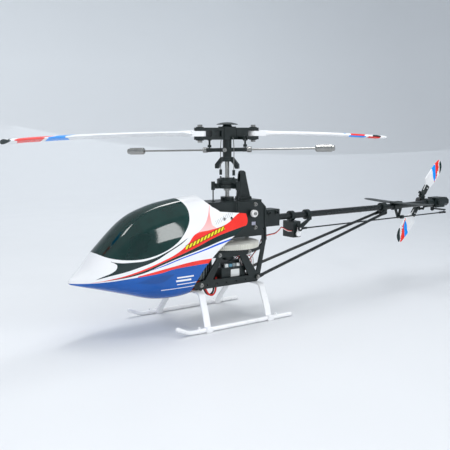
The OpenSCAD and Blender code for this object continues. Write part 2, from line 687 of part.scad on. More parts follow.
module flybar() color(steel) at_flybar() {
  rotate([0, 90, 0]) cylinder(r = 1.1, h = 2 * flybar_reach - 4, center = true, $fn = 24);
  // pivot pins with their heads
  for (s = [0, 180]) rotate(s) translate([0, 1.9, 0]) rotate([-90, 0, 0]) {
    cylinder(r = 1.5, h = 7.6, $fn = 32);
    difference() {
      translate([0, 0, 7.2]) cylinder(r = 2.5, h = 1.5, $fn = 32);
      translate([0, 0, 8]) cylinder(r = 1, h = 3, $fn = 6);
    }
  }
  for (s = [0, 180]) rotate(s) {
    // collar with its set screw
    difference() {
      translate([seesaw_reach + 3, 0, 0]) rotate([0, 90, 0]) cylinder(r = 3.3, h = 4.6);
      translate([seesaw_reach + 5.3, 0, 1.2]) cylinder(r = 0.8, h = 4, $fn = 20);
      rotate([0, 90, 0]) cylinder(r = 1.1, h = 60, $fn = 24);
    }
    // weight
    difference() {
      rotate([0, 90, 0]) rotate_extrude($fn = 40) polygon([
        [0, flybar_reach - weight_len], [3.2, flybar_reach - weight_len], [4.2, flybar_reach - weight_len + 1.4],
        [4.2, flybar_reach - 3.4], [3.2, flybar_reach - 2.6], [3.2, flybar_reach - 0.6], [2.6, flybar_reach], [0, flybar_reach]
      ]);
      translate([flybar_reach - weight_len / 2, 0, -6]) cylinder(r = 1, h = 3.6, $fn = 20);
      rotate([0, 90, 0]) cylinder(r = 1.1, h = flybar_reach - 2, $fn = 24);
    }
  }
}
// the link between the seesaw's ball and the grip's lever
link_low_z = flybar_z + 4.6;
link_drop = seesaw_reach * sin(flybar_rest_tilt);
module link(drop) {
  low = link_low_z - drop;
  top = grip_low + 1.8;
  translate([lever_out, -lever_side, 0]) difference() {
    union() {
      translate([0, 0, low - 1.4]) cylinder(r = 2.3, h = 2.9, $fn = 32);
      translate([0, 0, low + 1]) cylinder(r = 1.2, h = top - low - 3.6, $fn = 24);
      along_y(0, top, -1.3, 1.3, 3.4, 32);
    }
    translate([0, 0, low]) sphere(r = 1.72, $fn = 24);
    translate([0, 0, low - 3]) cylinder(r = 1.3, h = 3, $fn = 24);
    // the eye is wide enough for the lever's ball to wander as both tilt
    translate([0, 0, top]) sphere(r = 2.5, $fn = 24);
    along_y(0, top, -4, 4, 2.2, 24);
  }
}
module link_front() at_mast() color(black) link(link_drop);
module link_rear() at_mast() color(black) rotate(180) link(-link_drop);

// ---------- swashplate ----------

module swash_ball() at_mast() color(steel) difference() {
  union() {
    translate([0, 0, swash_z]) sphere(r = ball_r, $fn = 48);
    translate([0, 0, swash_z - 7.5]) cylinder(r = 4.2, h = 15);
  }
  translate([0, 0, swash_z - 10]) cylinder(r = mast_r + 1.1, h = 20);
}
module swash_lower() at_mast() color(black) {
  difference() {
    union() {
      translate([0, 0, swash_z - 4.6]) cylinder(r = 13.4, h = 4.6, $fn = 64);
      translate([0, 0, swash_z - 1]) cylinder(r = 9.2, h = 6.6, $fn = 64);
      for (a = [0, 90]) rotate(a) {
        box([11, -2.6, swash_z - 4.6], [13.4, 2.6, swash_z]);
        box([12.9, -2.6, swash_z - 4.6], [arm_reach - 3.2, 2.6, swash_z + 1.4]);
        along_x(0, swash_z + 1, arm_reach - 3.4, arm_reach, 0.8, 20);
        translate([arm_reach, 0, swash_z + 1]) sphere(r = 1.3, $fn = 24);
      }
      // rear arm that slides in the guide
      rotate(180) {
        box([11, -2.4, swash_z - 4.6], [16, 2.4, swash_z]);
        along_x(0, swash_z - 2.2, 15, 23.5, 1.1, 24);
      }
    }
    translate([0, 0, swash_z]) sphere(r = ball_r + 0.06, $fn = 48);
    translate([0, 0, swash_z - 9]) cylinder(r = 5.2, h = 18);
  }
}
module swash_upper() at_mast() color(black) {
  difference() {
    union() {
      translate([0, 0, swash_z + 0.4]) cylinder(r = 12.4, h = 5.6, $fn = 64);
      translate([0, 0, swash_z + 6]) cylinder(r1 = 12.4, r2 = 8.4, h = 1.4, $fn = 64);
    }
    translate([0, 0, swash_z - 1]) cylinder(r = 9.2 + fit, h = 6.9, $fn = 64);
    translate([0, 0, swash_z]) cylinder(r = 6.6, h = 10);
    for (a = [30:60:330]) rotate(a) translate([10.6, 0, swash_z + 4.6]) cylinder(r = 1.2, h = 6, $fn = 20);
  }
  for (s = [0, 180]) rotate(s) {
    translate([-wire_shift, wire_side, swash_z + 5.9]) cylinder(r = 0.7, h = 2, $fn = 20);
    translate([-wire_shift, wire_side, swash_z + 8]) sphere(r = 1.1, $fn = 24);
  }
}
// ---------- cyclic servos and linkage ----------

servo_low = crown_top + 0.8;   // clear of the crown gear's teeth
module cyclic_servos() at_mast() color(black) {
  difference() {
    union() {
      box([16, -15.4, servo_low], [38, -4.2, 131]);
      along_y(arm_reach + horn_arm, horn_z, -4.2, -3.2, 3, 24);
    }
    along_y(arm_reach + horn_arm, horn_z, -8, -2, 1.5 + fit, 24);
  }
  difference() {
    union() {
      box([6.6, 4.2, servo_low], [15.4, 15.4, 131]);
      along_y(horn_arm, horn_z, 15.4, 18.2, 3, 24);
    }
    along_y(horn_arm, horn_z, 10, 20, 1.5 + fit, 24);
  }
}
// a horn with its ball; its arm points to -X and the rod's eye turns in the plane y
module horn(pivot_x, y, shaft_from) difference() {
  union() {
    along_y(pivot_x, horn_z, shaft_from, y - 1.6, 1.5, 24);
    along_y(pivot_x, horn_z, y - 2.6, y - 1.4, 2.6, 24);
    side_slab([[pivot_x, horn_z - 2.2], [pivot_x, horn_z + 2.2], [pivot_x - horn_arm, horn_z + 1.4],
      [pivot_x - horn_arm - 1.4, horn_z], [pivot_x - horn_arm, horn_z - 1.4]], y - 2.6, y - 1.4);
    along_y(pivot_x - horn_arm, horn_z, y - 2, y, 0.7, 20);
    translate([pivot_x - horn_arm, y, horn_z]) sphere(r = 1.3, $fn = 24);
  }
  // recess of the horn's screw
  along_y(pivot_x, horn_z, y - 1.9, y, 0.9, 20);
}
module elevator_horn() at_mast() color(white) horn(arm_reach + horn_arm, 0, -7.5);
module aileron_horn() at_mast() color(white) horn(horn_arm, arm_reach + rod_step, 11);

// a rod with a ball link at each end, its lower part set step to port; the upper link opens inwards
module rod(x, y, step, turn) translate([x, y, 0]) difference() {
  union() {
    translate([0, 0, 153]) cylinder(r = 2.3, h = 9.8, $fn = 32);
    translate([0, step, horn_z + 1.5]) cylinder(r = 0.75, h = 153 - horn_z, $fn = 20);
    along_y(0, horn_z, step - 1, step + 1, 2.6, 32);
    translate([0, step, horn_z + 2]) cylinder(r = 1.3, h = 7, $fn = 24);
  }
  translate([0, 0, swash_z + 1]) sphere(r = 1.75, $fn = 24);
  rotate(turn) along_x(0, swash_z + 1, -4, 0, 1.5, 24);
  translate([0, step, horn_z]) sphere(r = 1.75, $fn = 24);
  along_y(0, horn_z, step - 4, step + 4, 1.35, 24);
}
rod_step = 0.6;
module elevator_rod() at_mast() color(black) rod(arm_reach, 0, 0, 0);
module aileron_rod() at_mast() color(black) rod(0, arm_reach, rod_step, 90);

// ---------- tail boom and its fittings ----------

module tail_boom() at_mast() color(black) difference() {
  along_x(0, boom_z, 8 - tail_arm, -38, boom_d / 2, 40);
  along_x(0, boom_z, -tail_arm, -30, boom_d / 2 - 0.8, 40);
}
clamp_x = [-101.5, -128.5];
module ring_clamp(x, w) difference() {
  along_x(0, boom_z, x - w / 2, x + w / 2, 6.6, 40);
  along_x(0, boom_z, x - w, x + w, boom_d / 2 + 0.02, 40);
  // split at the starboard side
  box([x - w, -8, boom_z - 0.6], [x + w, -3, boom_z + 0.6]);
}
module boom_clamps() at_mast() color(black) {
  ring_clamp(clamp_x[0], 5.5);
  difference() {
    union() {
      ring_clamp(clamp_x[1], 5.5);
      // bracket down to the servo's back
      side_slab([[clamp_x[1] - 2.5, 108.4], [clamp_x[1] + 2.5, 108.4], [-110, 101], [-110, 95.5], [-113, 95.5]], 5, 7.5);
      box([clamp_x[1] - 2.5, 4.2, 107], [clamp_x[1] + 2.5, 7.5, 112]);
    }
    along_x(0, boom_z, -140, -120, boom_d / 2 + 0.02, 40);
  }
  // saddle of the boom supports
  difference() {
    union() {
      ring_clamp(support_high[0], 9);
      mirror_y() box([support_high[0] - 4.5, 3, support_high[2] - 2.6], [support_high[0] + 4.5, 5.2, boom_z]);
    }
    along_x(0, boom_z, -290, -260, boom_d / 2 + 0.02, 40);
    along_y(support_high[0], support_high[2], -8, 8, 1.1, 20);
  }
  // guide of the pushrod: a V hung under the boom
  difference() {
    union() {
      along_x(0, boom_z, -312, -295, guide_r, 40);
      side_slab([[-295.4, 112], [-299, 112], [-304, 101.4], [-308.6, 112], [-311.8, 112], [-305.8, 96], [-302.4, 96]], 2.4, 4.4);
      along_y(-304.1, rod_z, 4, guide_y, 2.2, 24);
      translate([-304.1, guide_y, rod_z]) rotate([0, 90, guide_turn]) cylinder(r = 2.6, h = 5, center = true, $fn = 32);
    }
    along_x(0, boom_z, -330, -290, boom_d / 2 + 0.02, 40);
    translate([-304.1, guide_y, rod_z]) rotate([0, 90, guide_turn]) cylinder(r = 1.35, h = 20, center = true, $fn = 32);
  }
}
guide_r = 5.4;
guide_turn = atan2(rod_front[1] - rod_rear[1], rod_front[0] - rod_rear[0]);
guide_y = rod_rear[1] + (rod_front[1] - rod_rear[1]) * (-304.1 - rod_rear[0]) / (rod_front[0] - rod_rear[0]);

support_low = [screw_points[4][0], plate_in + plate_t + 0.9, screw_points[4][1]];
support_high = [-274, 6.1, boom_z - 7.2];
module boom_supports() at_mast() color(black) mirror_y() {
  d = unit(support_high - support_low);
  bar(support_low + 7.5 * d, support_high - 7.5 * d, 1.9);
  for (e = [[support_low, d], [support_high, -d]]) difference() {
    // flattened end with its screw hole
    hull() for (k = [0, 8.5])
      along_y(e[0][0] + k * e[1][0], e[0][2] + k * e[1][2], e[0][1] - 0.9, e[0][1] + 0.9, k == 0 ? 2.6 : 1.9, 24);
    along_y(e[0][0], e[0][2], e[0][1] - 4, e[0][1] + 4, 1.05, 20);
  }
}

module tail_servo() at_mast() color(black) difference() {
  union() {
    box([servo_x - 6, -11, 86.5], [servo_x + 6, 9.5, 107]);
    along_y(servo_x, servo_z, 9.5, 11, 4.4, 32);
    along_y(servo_x - 1, servo_z + 10, 9.5, 11, 2.4, 24);
  }
  along_y(servo_x, servo_z, 5, 12, 1.5 + fit, 24);
}
module tail_horn() at_mast() color(white) {
  along_y(servo_x, servo_z, 6, 13.6, 1.5, 24);
  difference() {
    union() {
      along_y(servo_x, servo_z, 11.4, 13.4, 3.6, 32);
      side_slab([[servo_x - 2.4, servo_z], [servo_x - 1.5, rod_z + 1], [servo_x + 1.5, rod_z + 1], [servo_x + 2.4, servo_z]],
        11.6, 13);
    }
    along_y(servo_x, servo_z, 10, 15, 1.49, 24);
  }
  along_y(servo_x, rod_z, 13, rod_front[1], 0.7, 20);
  translate(rod_front) sphere(r = 1.4, $fn = 24);
}
rod_dir = unit(rod_rear - rod_front);
module tail_pushrod() at_mast() color(black) difference() {
  union() {
    bar(rod_front + 2 * rod_dir, rod_front + 11 * rod_dir, 1.5, 24);
    bar(rod_rear - 2 * rod_dir, rod_rear - 11 * rod_dir, 1.5, 24);
    bar(rod_front + 5 * rod_dir, rod_rear - 5 * rod_dir, 0.9, 20);
    translate(rod_front) rotate([90, 0, 0]) cylinder(r = 3.2, h = 2.4, center = true, $fn = 32);
    translate(rod_rear) cylinder(r = 2.8, h = 2.4, center = true, $fn = 32);
  }
  // the front eye is long enough for the horn's ball to fall as it swings
  for (z = [0, -0.6]) translate(rod_front + [0, 0, z]) {
    sphere(r = 1.75, $fn = 24);
    rotate([90, 0, 0]) cylinder(r = 1.35, h = 8, center = true, $fn = 24);
  }
  translate(rod_rear) {
    sphere(r = 1.8, $fn = 24);
    cylinder(r = 1.4, h = 8, center = true, $fn = 24);
  }
}

stab_half = 61.5;
module stabiliser() at_mast() color(black) {
  difference() {
    union() {
      skin([for (i = [-10:10])
        let (s = abs(i) / 10, y = stab_half * i / 10, lead = -290 - 8 * s * s - (s > 0.9 ? 5 : 0),
          rear = -312.5 - 2 * s + (s > 0.9 ? 3 : 0), z = boom_z + boom_d / 2 + 1 + 1.2 * s * s, t = 0.8 - 0.25 * s)
        [[rear, y, z], [(rear + lead) / 2, y, z - t * 0.6], [lead, y, z], [(rear + lead) / 2, y, z + t * 1.2]]
      ]);
      box([-312, -4.4, boom_z + 3.6], [-295, 4.4, boom_z + guide_r + 1.2]);
    }
    along_x(0, boom_z, -330, -280, guide_r + 0.02, 40);
  }
}

module tail_case() at_mast() color(black) {
  difference() {
    union() {
      along_x(0, boom_z, 4 - tail_arm, 22 - tail_arm, 6.4, 40);
      box([-tail_arm - 14, -8, tail_z - 7.5], [6 - tail_arm, 8, tail_z + 7.5]);
      // eight-sided rear cap
      translate([-tail_arm - 26, 0, tail_z]) rotate([0, 90, 0]) rotate(22.5) cylinder(r = 6.9, h = 14, $fn = 8);
      along_y(-tail_arm, tail_z, -10, 11, 4.6, 32);
    }
    along_x(0, boom_z, 8 - tail_arm, 30 - tail_arm, boom_d / 2 + 0.02, 40);
    // gear chamber
    box([-tail_arm - 6.6, -5.6, tail_z - 5.8], [8 - tail_arm, 5.6, tail_z + 5.8]);
    along_y(-tail_arm, tail_z, -14, 14, 1.5 + fit, 32);
  }
  // bracket of the bell crank and its pivot pin, headed at the bottom
  box([lever_x - 3, lever_y - 2.4, 111.2], [lever_x + 2.8, -5, 114.6]);
  translate([lever_x, lever_y, rod_z + 1.2]) cylinder(r = 1.2, h = 10.5, $fn = 24);
  translate([lever_x, lever_y, rod_z + 0.5]) cylinder(r = 2, h = 0.8, $fn = 24);
}

// ---------- tail drive ----------

tail_pinion_x = 4.6 - tail_arm;
module cross_gear(teeth, r, h) difference() {
  union() {
    cylinder(r = r - 1.1, h = h, $fn = 40);
    for (i = [0:teeth - 1]) rotate(360 * i / teeth) translate([r - 1.6, -r * 0.13, 0]) cube([1.5, r * 0.26, h]);
  }
  translate([0, 0, -1]) cylinder(r = 1.0, h = h + 2, $fn = 24);
}
module tail_drive_shaft() at_mast() color(steel) {
  along_x(0, boom_z, tail_pinion_x - 1, -10.6, 1, 24);
  translate([-15.2, 0, boom_z]) rotate([0, 90, 0]) cross_gear(8, front_pinion_r, 4.2);
  translate([tail_pinion_x - 2, 0, boom_z]) rotate([0, 90, 0]) cross_gear(9, 3, 3);
}
module tail_hub() at_mast() color(black) {
  along_y(-tail_arm, tail_z, tail_y - 4, 11.6, 1.5, 32);
  // gear inside the case
  difference() {
    union() {
      along_y(-tail_arm, tail_z, -5.4, -3.8, 5.4, 40);
      for (i = [0:11]) translate([-tail_arm, -3.8, tail_z]) rotate([0, 30 * i, 0]) translate([2.7, 0, -0.5]) cube([2.4, 0.6, 1]);
    }
    along_y(-tail_arm, tail_z, -7, -2, 1.5, 32);
  }
  // hub with the two stub axles of the grips
  difference() {
    along_y(-tail_arm, tail_z, tail_y - 4, tail_y + 4, 5, 40);
    along_y(-tail_arm, tail_z, tail_y - 8, tail_y + 8, 1.5, 32);
  }
  translate([-tail_arm, tail_y, tail_z]) rotate([0, -tail_lean, 0]) for (s = [0, 180]) rotate([0, s, 0]) {
    translate([0, 0, 4.6]) cylinder(r = 1.2, h = 10.4, $fn = 24);
    translate([0, 0, 14.2]) cylinder(r = 2, h = 0.9, $fn = 24);
  }
}

finger_y = lever_y - 6.4;
finger_x = 6.8;
module pitch_slider() at_mast() color(black) {
  difference() {
    union() {
      along_y(-tail_arm, tail_z, finger_y - 1, lever_y + 2, 3, 32);
      along_y(-tail_arm, tail_z, lever_y + 1.2, lever_y + 2, 4.4, 32);
      along_y(-tail_arm, tail_z, lever_y - 2.2, lever_y - 1.2, 4.4, 32);
      along_y(-tail_arm, tail_z, finger_y - 1, finger_y + 0.8, 4.4, 32);
      // two fingers that turn the grips
      translate([-tail_arm, 0, tail_z]) rotate([0, -tail_lean, 0]) for (s = [0, 180]) rotate([0, s, 0]) {
        box([3, finger_y - 1, 1.2], [finger_x + 1.4, finger_y + 0.8, 5]);
        box([finger_x - 1.2, finger_y - 1, 3], [finger_x + 1.4, finger_y + 0.8, 11.2]);
        box([finger_x - 1.2, tail_y + 2.9, 8.6], [finger_x + 1.4, finger_y, 11.2]);
      }
    }
    along_y(-tail_arm, tail_z, finger_y - 5, lever_y + 5, 1.5 + fit, 32);
  }
}
module pitch_lever() at_mast() color(black) {
  difference() {
    union() {
      translate([lever_x, lever_y, rod_z + 1.6]) cylinder(r = 2.8, h = 10.6, $fn = 32);
      box([lever_x - 1.7, lever_y, rod_z + 2.8], [lever_x + 1.7, lever_y + lever_long + 1.8, rod_z + 4.8]);
      // arm under the slider
      box([lever_x, lever_y - 1.5, rod_z + 8.6], [1.2 - tail_arm, lever_y + 1.5, rod_z + 10.6]);
    }
    translate([lever_x, lever_y, 80]) cylinder(r = 1.2 + fit, h = 40, $fn = 24);
  }
  // pin in the slider's groove, and the ball that the pushrod holds
  translate([-tail_arm, lever_y, rod_z + 10.4]) cylinder(r = 0.95, h = 1.8, $fn = 24);
  translate([lever_x, lever_y + lever_long, rod_z]) cylinder(r = 0.7, h = 3, $fn = 20);
  translate([lever_x, lever_y + lever_long, rod_z]) sphere(r = 1.4, $fn = 24);
}

module tail_grip() difference() {
  union() {
    cylinder(r = 3.4, h = 11, $fn = 32);
    box([-4.2, -3, 0], [4.2, 3, 5]);
    box([-3.4, -2.6, 8], [3.4, 2.6, 22]);
    box([4.2, -1.4, 2.8], [9.4, 1.4, 6.2]);
  }
  translate([0, 0, -1]) cylinder(r = 1.2 + fit, h = 12, $fn = 24);
  translate([0, 0, 7.9]) cylinder(r = 2.2, h = 2.6, $fn = 24);
  box([-5, -0.95, 12], [5, 0.95, 30]);
  along_y(0, 17.5, -5, 5, 0.8, 20);
}
module at_tail_blade(s) at_mast() translate([-tail_arm, tail_y, tail_z]) rotate([0, -tail_lean + s, 0]) translate([0, 0, 5.6]) children();
module tail_grip_upper() color(black) at_tail_blade(0) tail_grip();
module tail_grip_lower() color(black) at_tail_blade(180) tail_grip();

module tail_blade() {
  tip = tail_radius - 5.6;
  difference() {
    translate([0, 0.85, 0]) rotate([90, 0, 0]) linear_extrude(1.7) polygon(concat(
      [[-2.6, 12.6], [2.8, 12.6], [3, 19.6]],
      spline([[10.6, 28.4], [8.6, 42], [6, tip - 12], [2.2, tip - 0.6], [-2.4, tip], [-9.6, tip - 5],
        [-12.6, tip - 16], [-10.8, 36], [-6.6, 22.4]], 4),
      [[-2.8, 18]]));
    along_y(0, 17.5, -5, 5, 0.85, 20);
  }
  // bolt
  along_y(0, 17.5, -3.6, 3.6, 0.78, 20);
}
module tail_blade_upper() color(white) at_tail_blade(0) tail_blade();
module tail_blade_lower() color(white) at_tail_blade(180) tail_blade();

frame_left();
frame_right();
mast_block();
motor_mount();
mast_bearings();
floor_tray();
frame_fixings();
boom_block();
canopy_grommets();
canopy();
canopy_window();
landing_legs();
skid_tubes();
motor();
heat_sink();
crown_gear();
cyclic_servos();
electronics();
battery();
leads();
tail_servo();
boom_clamps();
tail_boom();
boom_supports();
stabiliser();
tail_case();
pinion();
main_gear();
mast();
rotor_hub();
head_button();
spindle();
mixing_wires();
grip_front();
grip_rear();
bolt_front();
bolt_rear();
blade_front();
blade_rear();
seesaw();
flybar();
link_front();
link_rear();
swash_ball();
swash_lower();
swash_upper();
elevator_horn();
aileron_horn();
elevator_rod();
aileron_rod();
tail_horn();
tail_pushrod();
tail_drive_shaft();
tail_hub();
pitch_lever();
pitch_slider();
tail_grip_upper();
tail_grip_lower();
tail_blade_upper();
tail_blade_lower();
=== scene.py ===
"""Looks of the remote control helicopter: paint, plastics, metals and the smooth-skinned pieces."""

import json
import math

import bmesh
import bpy
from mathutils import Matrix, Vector


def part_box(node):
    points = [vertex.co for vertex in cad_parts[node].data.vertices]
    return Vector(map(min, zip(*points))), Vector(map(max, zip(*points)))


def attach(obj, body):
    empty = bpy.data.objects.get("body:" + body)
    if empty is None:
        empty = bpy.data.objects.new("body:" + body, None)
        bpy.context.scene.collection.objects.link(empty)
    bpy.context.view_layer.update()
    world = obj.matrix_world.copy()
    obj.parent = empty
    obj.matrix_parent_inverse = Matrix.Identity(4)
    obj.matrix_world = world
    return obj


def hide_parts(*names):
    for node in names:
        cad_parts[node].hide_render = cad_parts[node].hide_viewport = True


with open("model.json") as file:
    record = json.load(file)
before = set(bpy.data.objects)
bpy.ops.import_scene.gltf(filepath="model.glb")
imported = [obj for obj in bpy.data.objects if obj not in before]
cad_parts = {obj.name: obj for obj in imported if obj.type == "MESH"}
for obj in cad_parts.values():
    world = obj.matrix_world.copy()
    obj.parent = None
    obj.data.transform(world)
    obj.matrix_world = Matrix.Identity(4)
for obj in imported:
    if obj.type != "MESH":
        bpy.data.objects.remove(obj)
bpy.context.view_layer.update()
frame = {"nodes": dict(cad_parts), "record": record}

MM = 0.001
MAST = (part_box("mast")[0].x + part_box("mast")[1].x) / 2
SPINDLE_Z = (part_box("spindle")[0].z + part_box("spindle")[1].z) / 2
BOOM_Z = (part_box("tail_boom")[0].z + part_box("tail_boom")[1].z) / 2
ROTOR_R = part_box("blade_front")[1].x - MAST
TAIL_LEAN = math.radians(36.5)
# in millimetres
BLADE_CHORD = 31.0
BLADE_LEAD = 9.5  # from the blade's pitch axis forward to the leading edge
BLADE_BOLT = 39  # from the mast to a blade's bolt
SKID_HALF = 53.7  # from the middle to a skid tube
SKID_Z = 3


def at(x, y, z):
    """A point given in millimetres from the foot of the mast."""
    return Vector((MAST + x * MM, y * MM, z * MM))


# ---------------------------------------------------------------- camera, floor and light

def camera():
    data = bpy.data.cameras.new("camera")
    data.lens = 58.4
    data.sensor_width = 36.0
    data.clip_start = 0.01
    data.clip_end = 60.0
    cam = bpy.data.objects.new("camera", data)
    bpy.context.scene.collection.objects.link(cam)
    cam.location = at(516.2, 701.8, 225.8)
    aim = at(3.2, 0, 109.8) - cam.location
    cam.rotation_mode = "QUATERNION"
    cam.rotation_quaternion = aim.to_track_quat("-Z", "Y")
    bpy.context.scene.camera = cam


def area_light(name, place, aim, size, watts, colour=(1, 1, 1), size_y=None):
    data = bpy.data.lights.new(name, "AREA")
    data.energy = watts
    data.color = colour
    data.size = size
    if size_y:
        data.shape = "RECTANGLE"
        data.size_y = size_y
    light = bpy.data.objects.new(name, data)
    bpy.context.scene.collection.objects.link(light)
    light.location = place
    light.rotation_mode = "QUATERNION"
    light.rotation_quaternion = (Vector(aim) - Vector(place)).to_track_quat("-Z", "Y")
    return light


def studio():
    """A long soft box overhead, a small one at the front and weak light from all round."""
    scene = bpy.context.scene
    scene.view_settings.view_transform = "Standard"
    world = bpy.data.worlds.new("studio")
    scene.world = world
    world.use_nodes = True
    back = world.node_tree.nodes["Background"]
    back.inputs["Color"].default_value = (0.90, 0.95, 1.0, 1)
    back.inputs["Strength"].default_value = 0.74
    canopy_top = at(110, 15, 130)
    overhead = canopy_top + Vector((-0.02, -0.17, 1.4))
    key = area_light("key", overhead, overhead - Vector((0, 0, 1)), 1.7, 11, size_y=0.17)
    key.rotation_mode = "XYZ"
    key.rotation_euler = (0, 0, math.radians(29.6))
    ahead = canopy_top + 1.5 * Vector((-0.39, 0.83, 0.40))
    area_light("front_box", ahead, canopy_top, 0.26, 5.2, size_y=0.62)
    middle = at(0, 0, 120)
    soft = [
        area_light("fill", at(700, 1500, 700), middle, 1.4, 9, (1.0, 0.98, 0.96)),
        area_light("rear", at(-900, -900, 1000), middle, 2.2, 4, (0.92, 0.96, 1.0)),
        area_light("top", at(-100, 0, 1700), middle, 2.6, 5),
        area_light("wall", at(-100, -1200, 1500), at(-700, -2900, 700), 1.6, 9),
    ]
    for light in soft:
        light.visible_glossy = False


def floor():
    """A floor that curves up into a wall all the way round."""
    flat, sweep, wall, count = 1.2, 1.9, 1.2, 128
    profile = [(0.02, 0.0), (flat * 0.5, 0.0)]
    bend = [math.pi / 2 * k / 24 for k in range(25)]
    profile += [(flat + sweep * math.sin(a), sweep * (1 - math.cos(a))) for a in bend]
    profile.append((flat + sweep, sweep + wall))
    centre = at(0, 0, 0)
    rings = [[centre + Vector((x, y, z)) for x, y in circle(0, 0, r, count)] for r, z in profile]
    verts, faces = skin(rings, False)
    faces.append(tuple(range(count)))
    obj = piece("floor", verts, faces, floor_paint(), 60)


# ---------------------------------------------------------------- materials

class Paint:
    """A node material being put together."""

    def __init__(self, name):
        self.material = bpy.data.materials.new(name)
        self.material.use_nodes = True
        self.tree = self.material.node_tree
        self.shader = self.tree.nodes["Principled BSDF"]
        self.coords = self.tree.nodes.new("ShaderNodeTexCoord").outputs["Object"]

    def link(self, value, socket):
        if isinstance(value, bpy.types.NodeSocket):
            self.tree.links.new(value, socket)
        else:
            socket.default_value = value

    def math(self, operation, a, b=0.0, clamp=False):
        n = self.tree.nodes.new("ShaderNodeMath")
        n.operation = operation
        n.use_clamp = clamp
        for value, socket in zip((a, b), n.inputs):
            self.link(value, socket)
        return n.outputs[0]

    def noise(self, scale, detail=3.0, rough=0.55, stretch=None):
        n = self.tree.nodes.new("ShaderNodeTexNoise")
        n.inputs["Scale"].default_value = scale
        n.inputs["Detail"].default_value = detail
        n.inputs["Roughness"].default_value = rough
        source = self.coords
        if stretch:
            mapping = self.tree.nodes.new("ShaderNodeMapping")
            mapping.inputs["Scale"].default_value = stretch
            self.tree.links.new(source, mapping.inputs[0])
            source = mapping.outputs[0]
        self.tree.links.new(source, n.inputs["Vector"])
        return n.outputs["Fac"]

    def span(self, value, a, b, low=0.0, high=1.0):
        """Maps a..b to low..high, held at both ends."""
        n = self.tree.nodes.new("ShaderNodeMapRange")
        n.clamp = True
        keys = ("Value", "From Min", "From Max", "To Min", "To Max")
        for key, given in zip(keys, (value, a, b, low, high)):
            self.link(given, n.inputs[key])
        return n.outputs["Result"]

    def mix(self, factor, a, b):
        n = self.tree.nodes.new("ShaderNodeMix")
        n.data_type = "RGBA"
        self.link(factor, n.inputs["Factor"])
        for value, socket in ((a, n.inputs[6]), (b, n.inputs[7])):
            self.link((*value, 1) if isinstance(value, tuple) and len(value) == 3 else value, socket)
        return n.outputs[2]

    def axes(self):
        n = self.tree.nodes.new("ShaderNodeSeparateXYZ")
        self.tree.links.new(self.coords, n.inputs[0])
        return n.outputs

    def edges(self, radius):
        """1 on sharp edges, 0 on flats."""
        bevel = self.tree.nodes.new("ShaderNodeBevel")
        bevel.samples = 4
        bevel.inputs["Radius"].default_value = radius
        geometry = self.tree.nodes.new("ShaderNodeNewGeometry")
        dot = self.tree.nodes.new("ShaderNodeVectorMath")
        dot.operation = "DOT_PRODUCT"
        self.tree.links.new(bevel.outputs[0], dot.inputs[0])
        self.tree.links.new(geometry.outputs["Normal"], dot.inputs[1])
        return self.span(dot.outputs["Value"], 0.99, 0.80)

    def bump(self, height, strength, distance, radius=None):
        n = self.tree.nodes.new("ShaderNodeBump")
        n.inputs["Strength"].default_value = strength
        n.inputs["Distance"].default_value = distance
        self.tree.links.new(height, n.inputs["Height"])
        if radius:
            bevel = self.tree.nodes.new("ShaderNodeBevel")
            bevel.samples = 4
            bevel.inputs["Radius"].default_value = radius
            self.tree.links.new(bevel.outputs[0], n.inputs["Normal"])
        self.tree.links.new(n.outputs[0], self.shader.inputs["Normal"])

    def set(self, **values):
        for key, value in values.items():
            socket = self.shader.inputs[key.replace("_", " ")]
            if isinstance(value, tuple) and len(value) == 3:
                value = (*value, 1)
            self.link(value, socket)


def tint(colour, share):
    return tuple(min(1.0, c * share) for c in colour)


def moulded(name, colour, rough=0.45, grain=0.25, worn=None, gloss=0.0, cast=0.13):
    """Injection-moulded plastic: fine grain, uneven sheen and rubbed edges."""
    p = Paint(name)
    edge = 0.35 * MM
    cloud = p.noise(45, 4)
    base = p.mix(p.span(cloud, 0.3, 0.7), tint(colour, 1 - cast), tint(colour, 1 + cast))
    scuff = p.span(p.noise(260, 6, 0.7), 0.62, 0.72, 0, 0.5)
    worn = worn or tint(colour, 1.9)
    base = p.mix(p.math("MULTIPLY", p.edges(edge), p.span(cloud, 0.35, 0.7, 0.15, 0.7)), base, worn)
    base = p.mix(p.math("MULTIPLY", scuff, 0.25), base, worn)
    p.set(Base_Color=base, Roughness=p.span(p.noise(90, 5), 0.25, 0.75, rough - 0.08, rough + 0.1))
    p.shader.inputs["Coat Weight"].default_value = gloss
    p.shader.inputs["Coat Roughness"].default_value = 0.08
    p.bump(p.noise(3200, 2), grain, 0.04 * MM, edge)
    return p.material


def metal(name, colour, rough=0.25, stretch=(1, 1, 1)):
    """Turned or drawn metal: fine tool marks and a little tarnish."""
    p = Paint(name)
    edge = 0.25 * MM
    marks = p.noise(1800, 3, 0.5, stretch=stretch)
    tarnish = p.noise(70, 5)
    base = p.mix(p.span(tarnish, 0.35, 0.75), colour, tint(colour, 0.72))
    base = p.mix(p.edges(edge), base, tint(colour, 1.25))
    p.set(Base_Color=base, Roughness=p.span(marks, 0.2, 0.8, rough - 0.08, rough + 0.14))
    p.shader.inputs["Metallic"].default_value = 1.0
    p.bump(marks, 0.15, 0.02 * MM, edge)
    return p.material


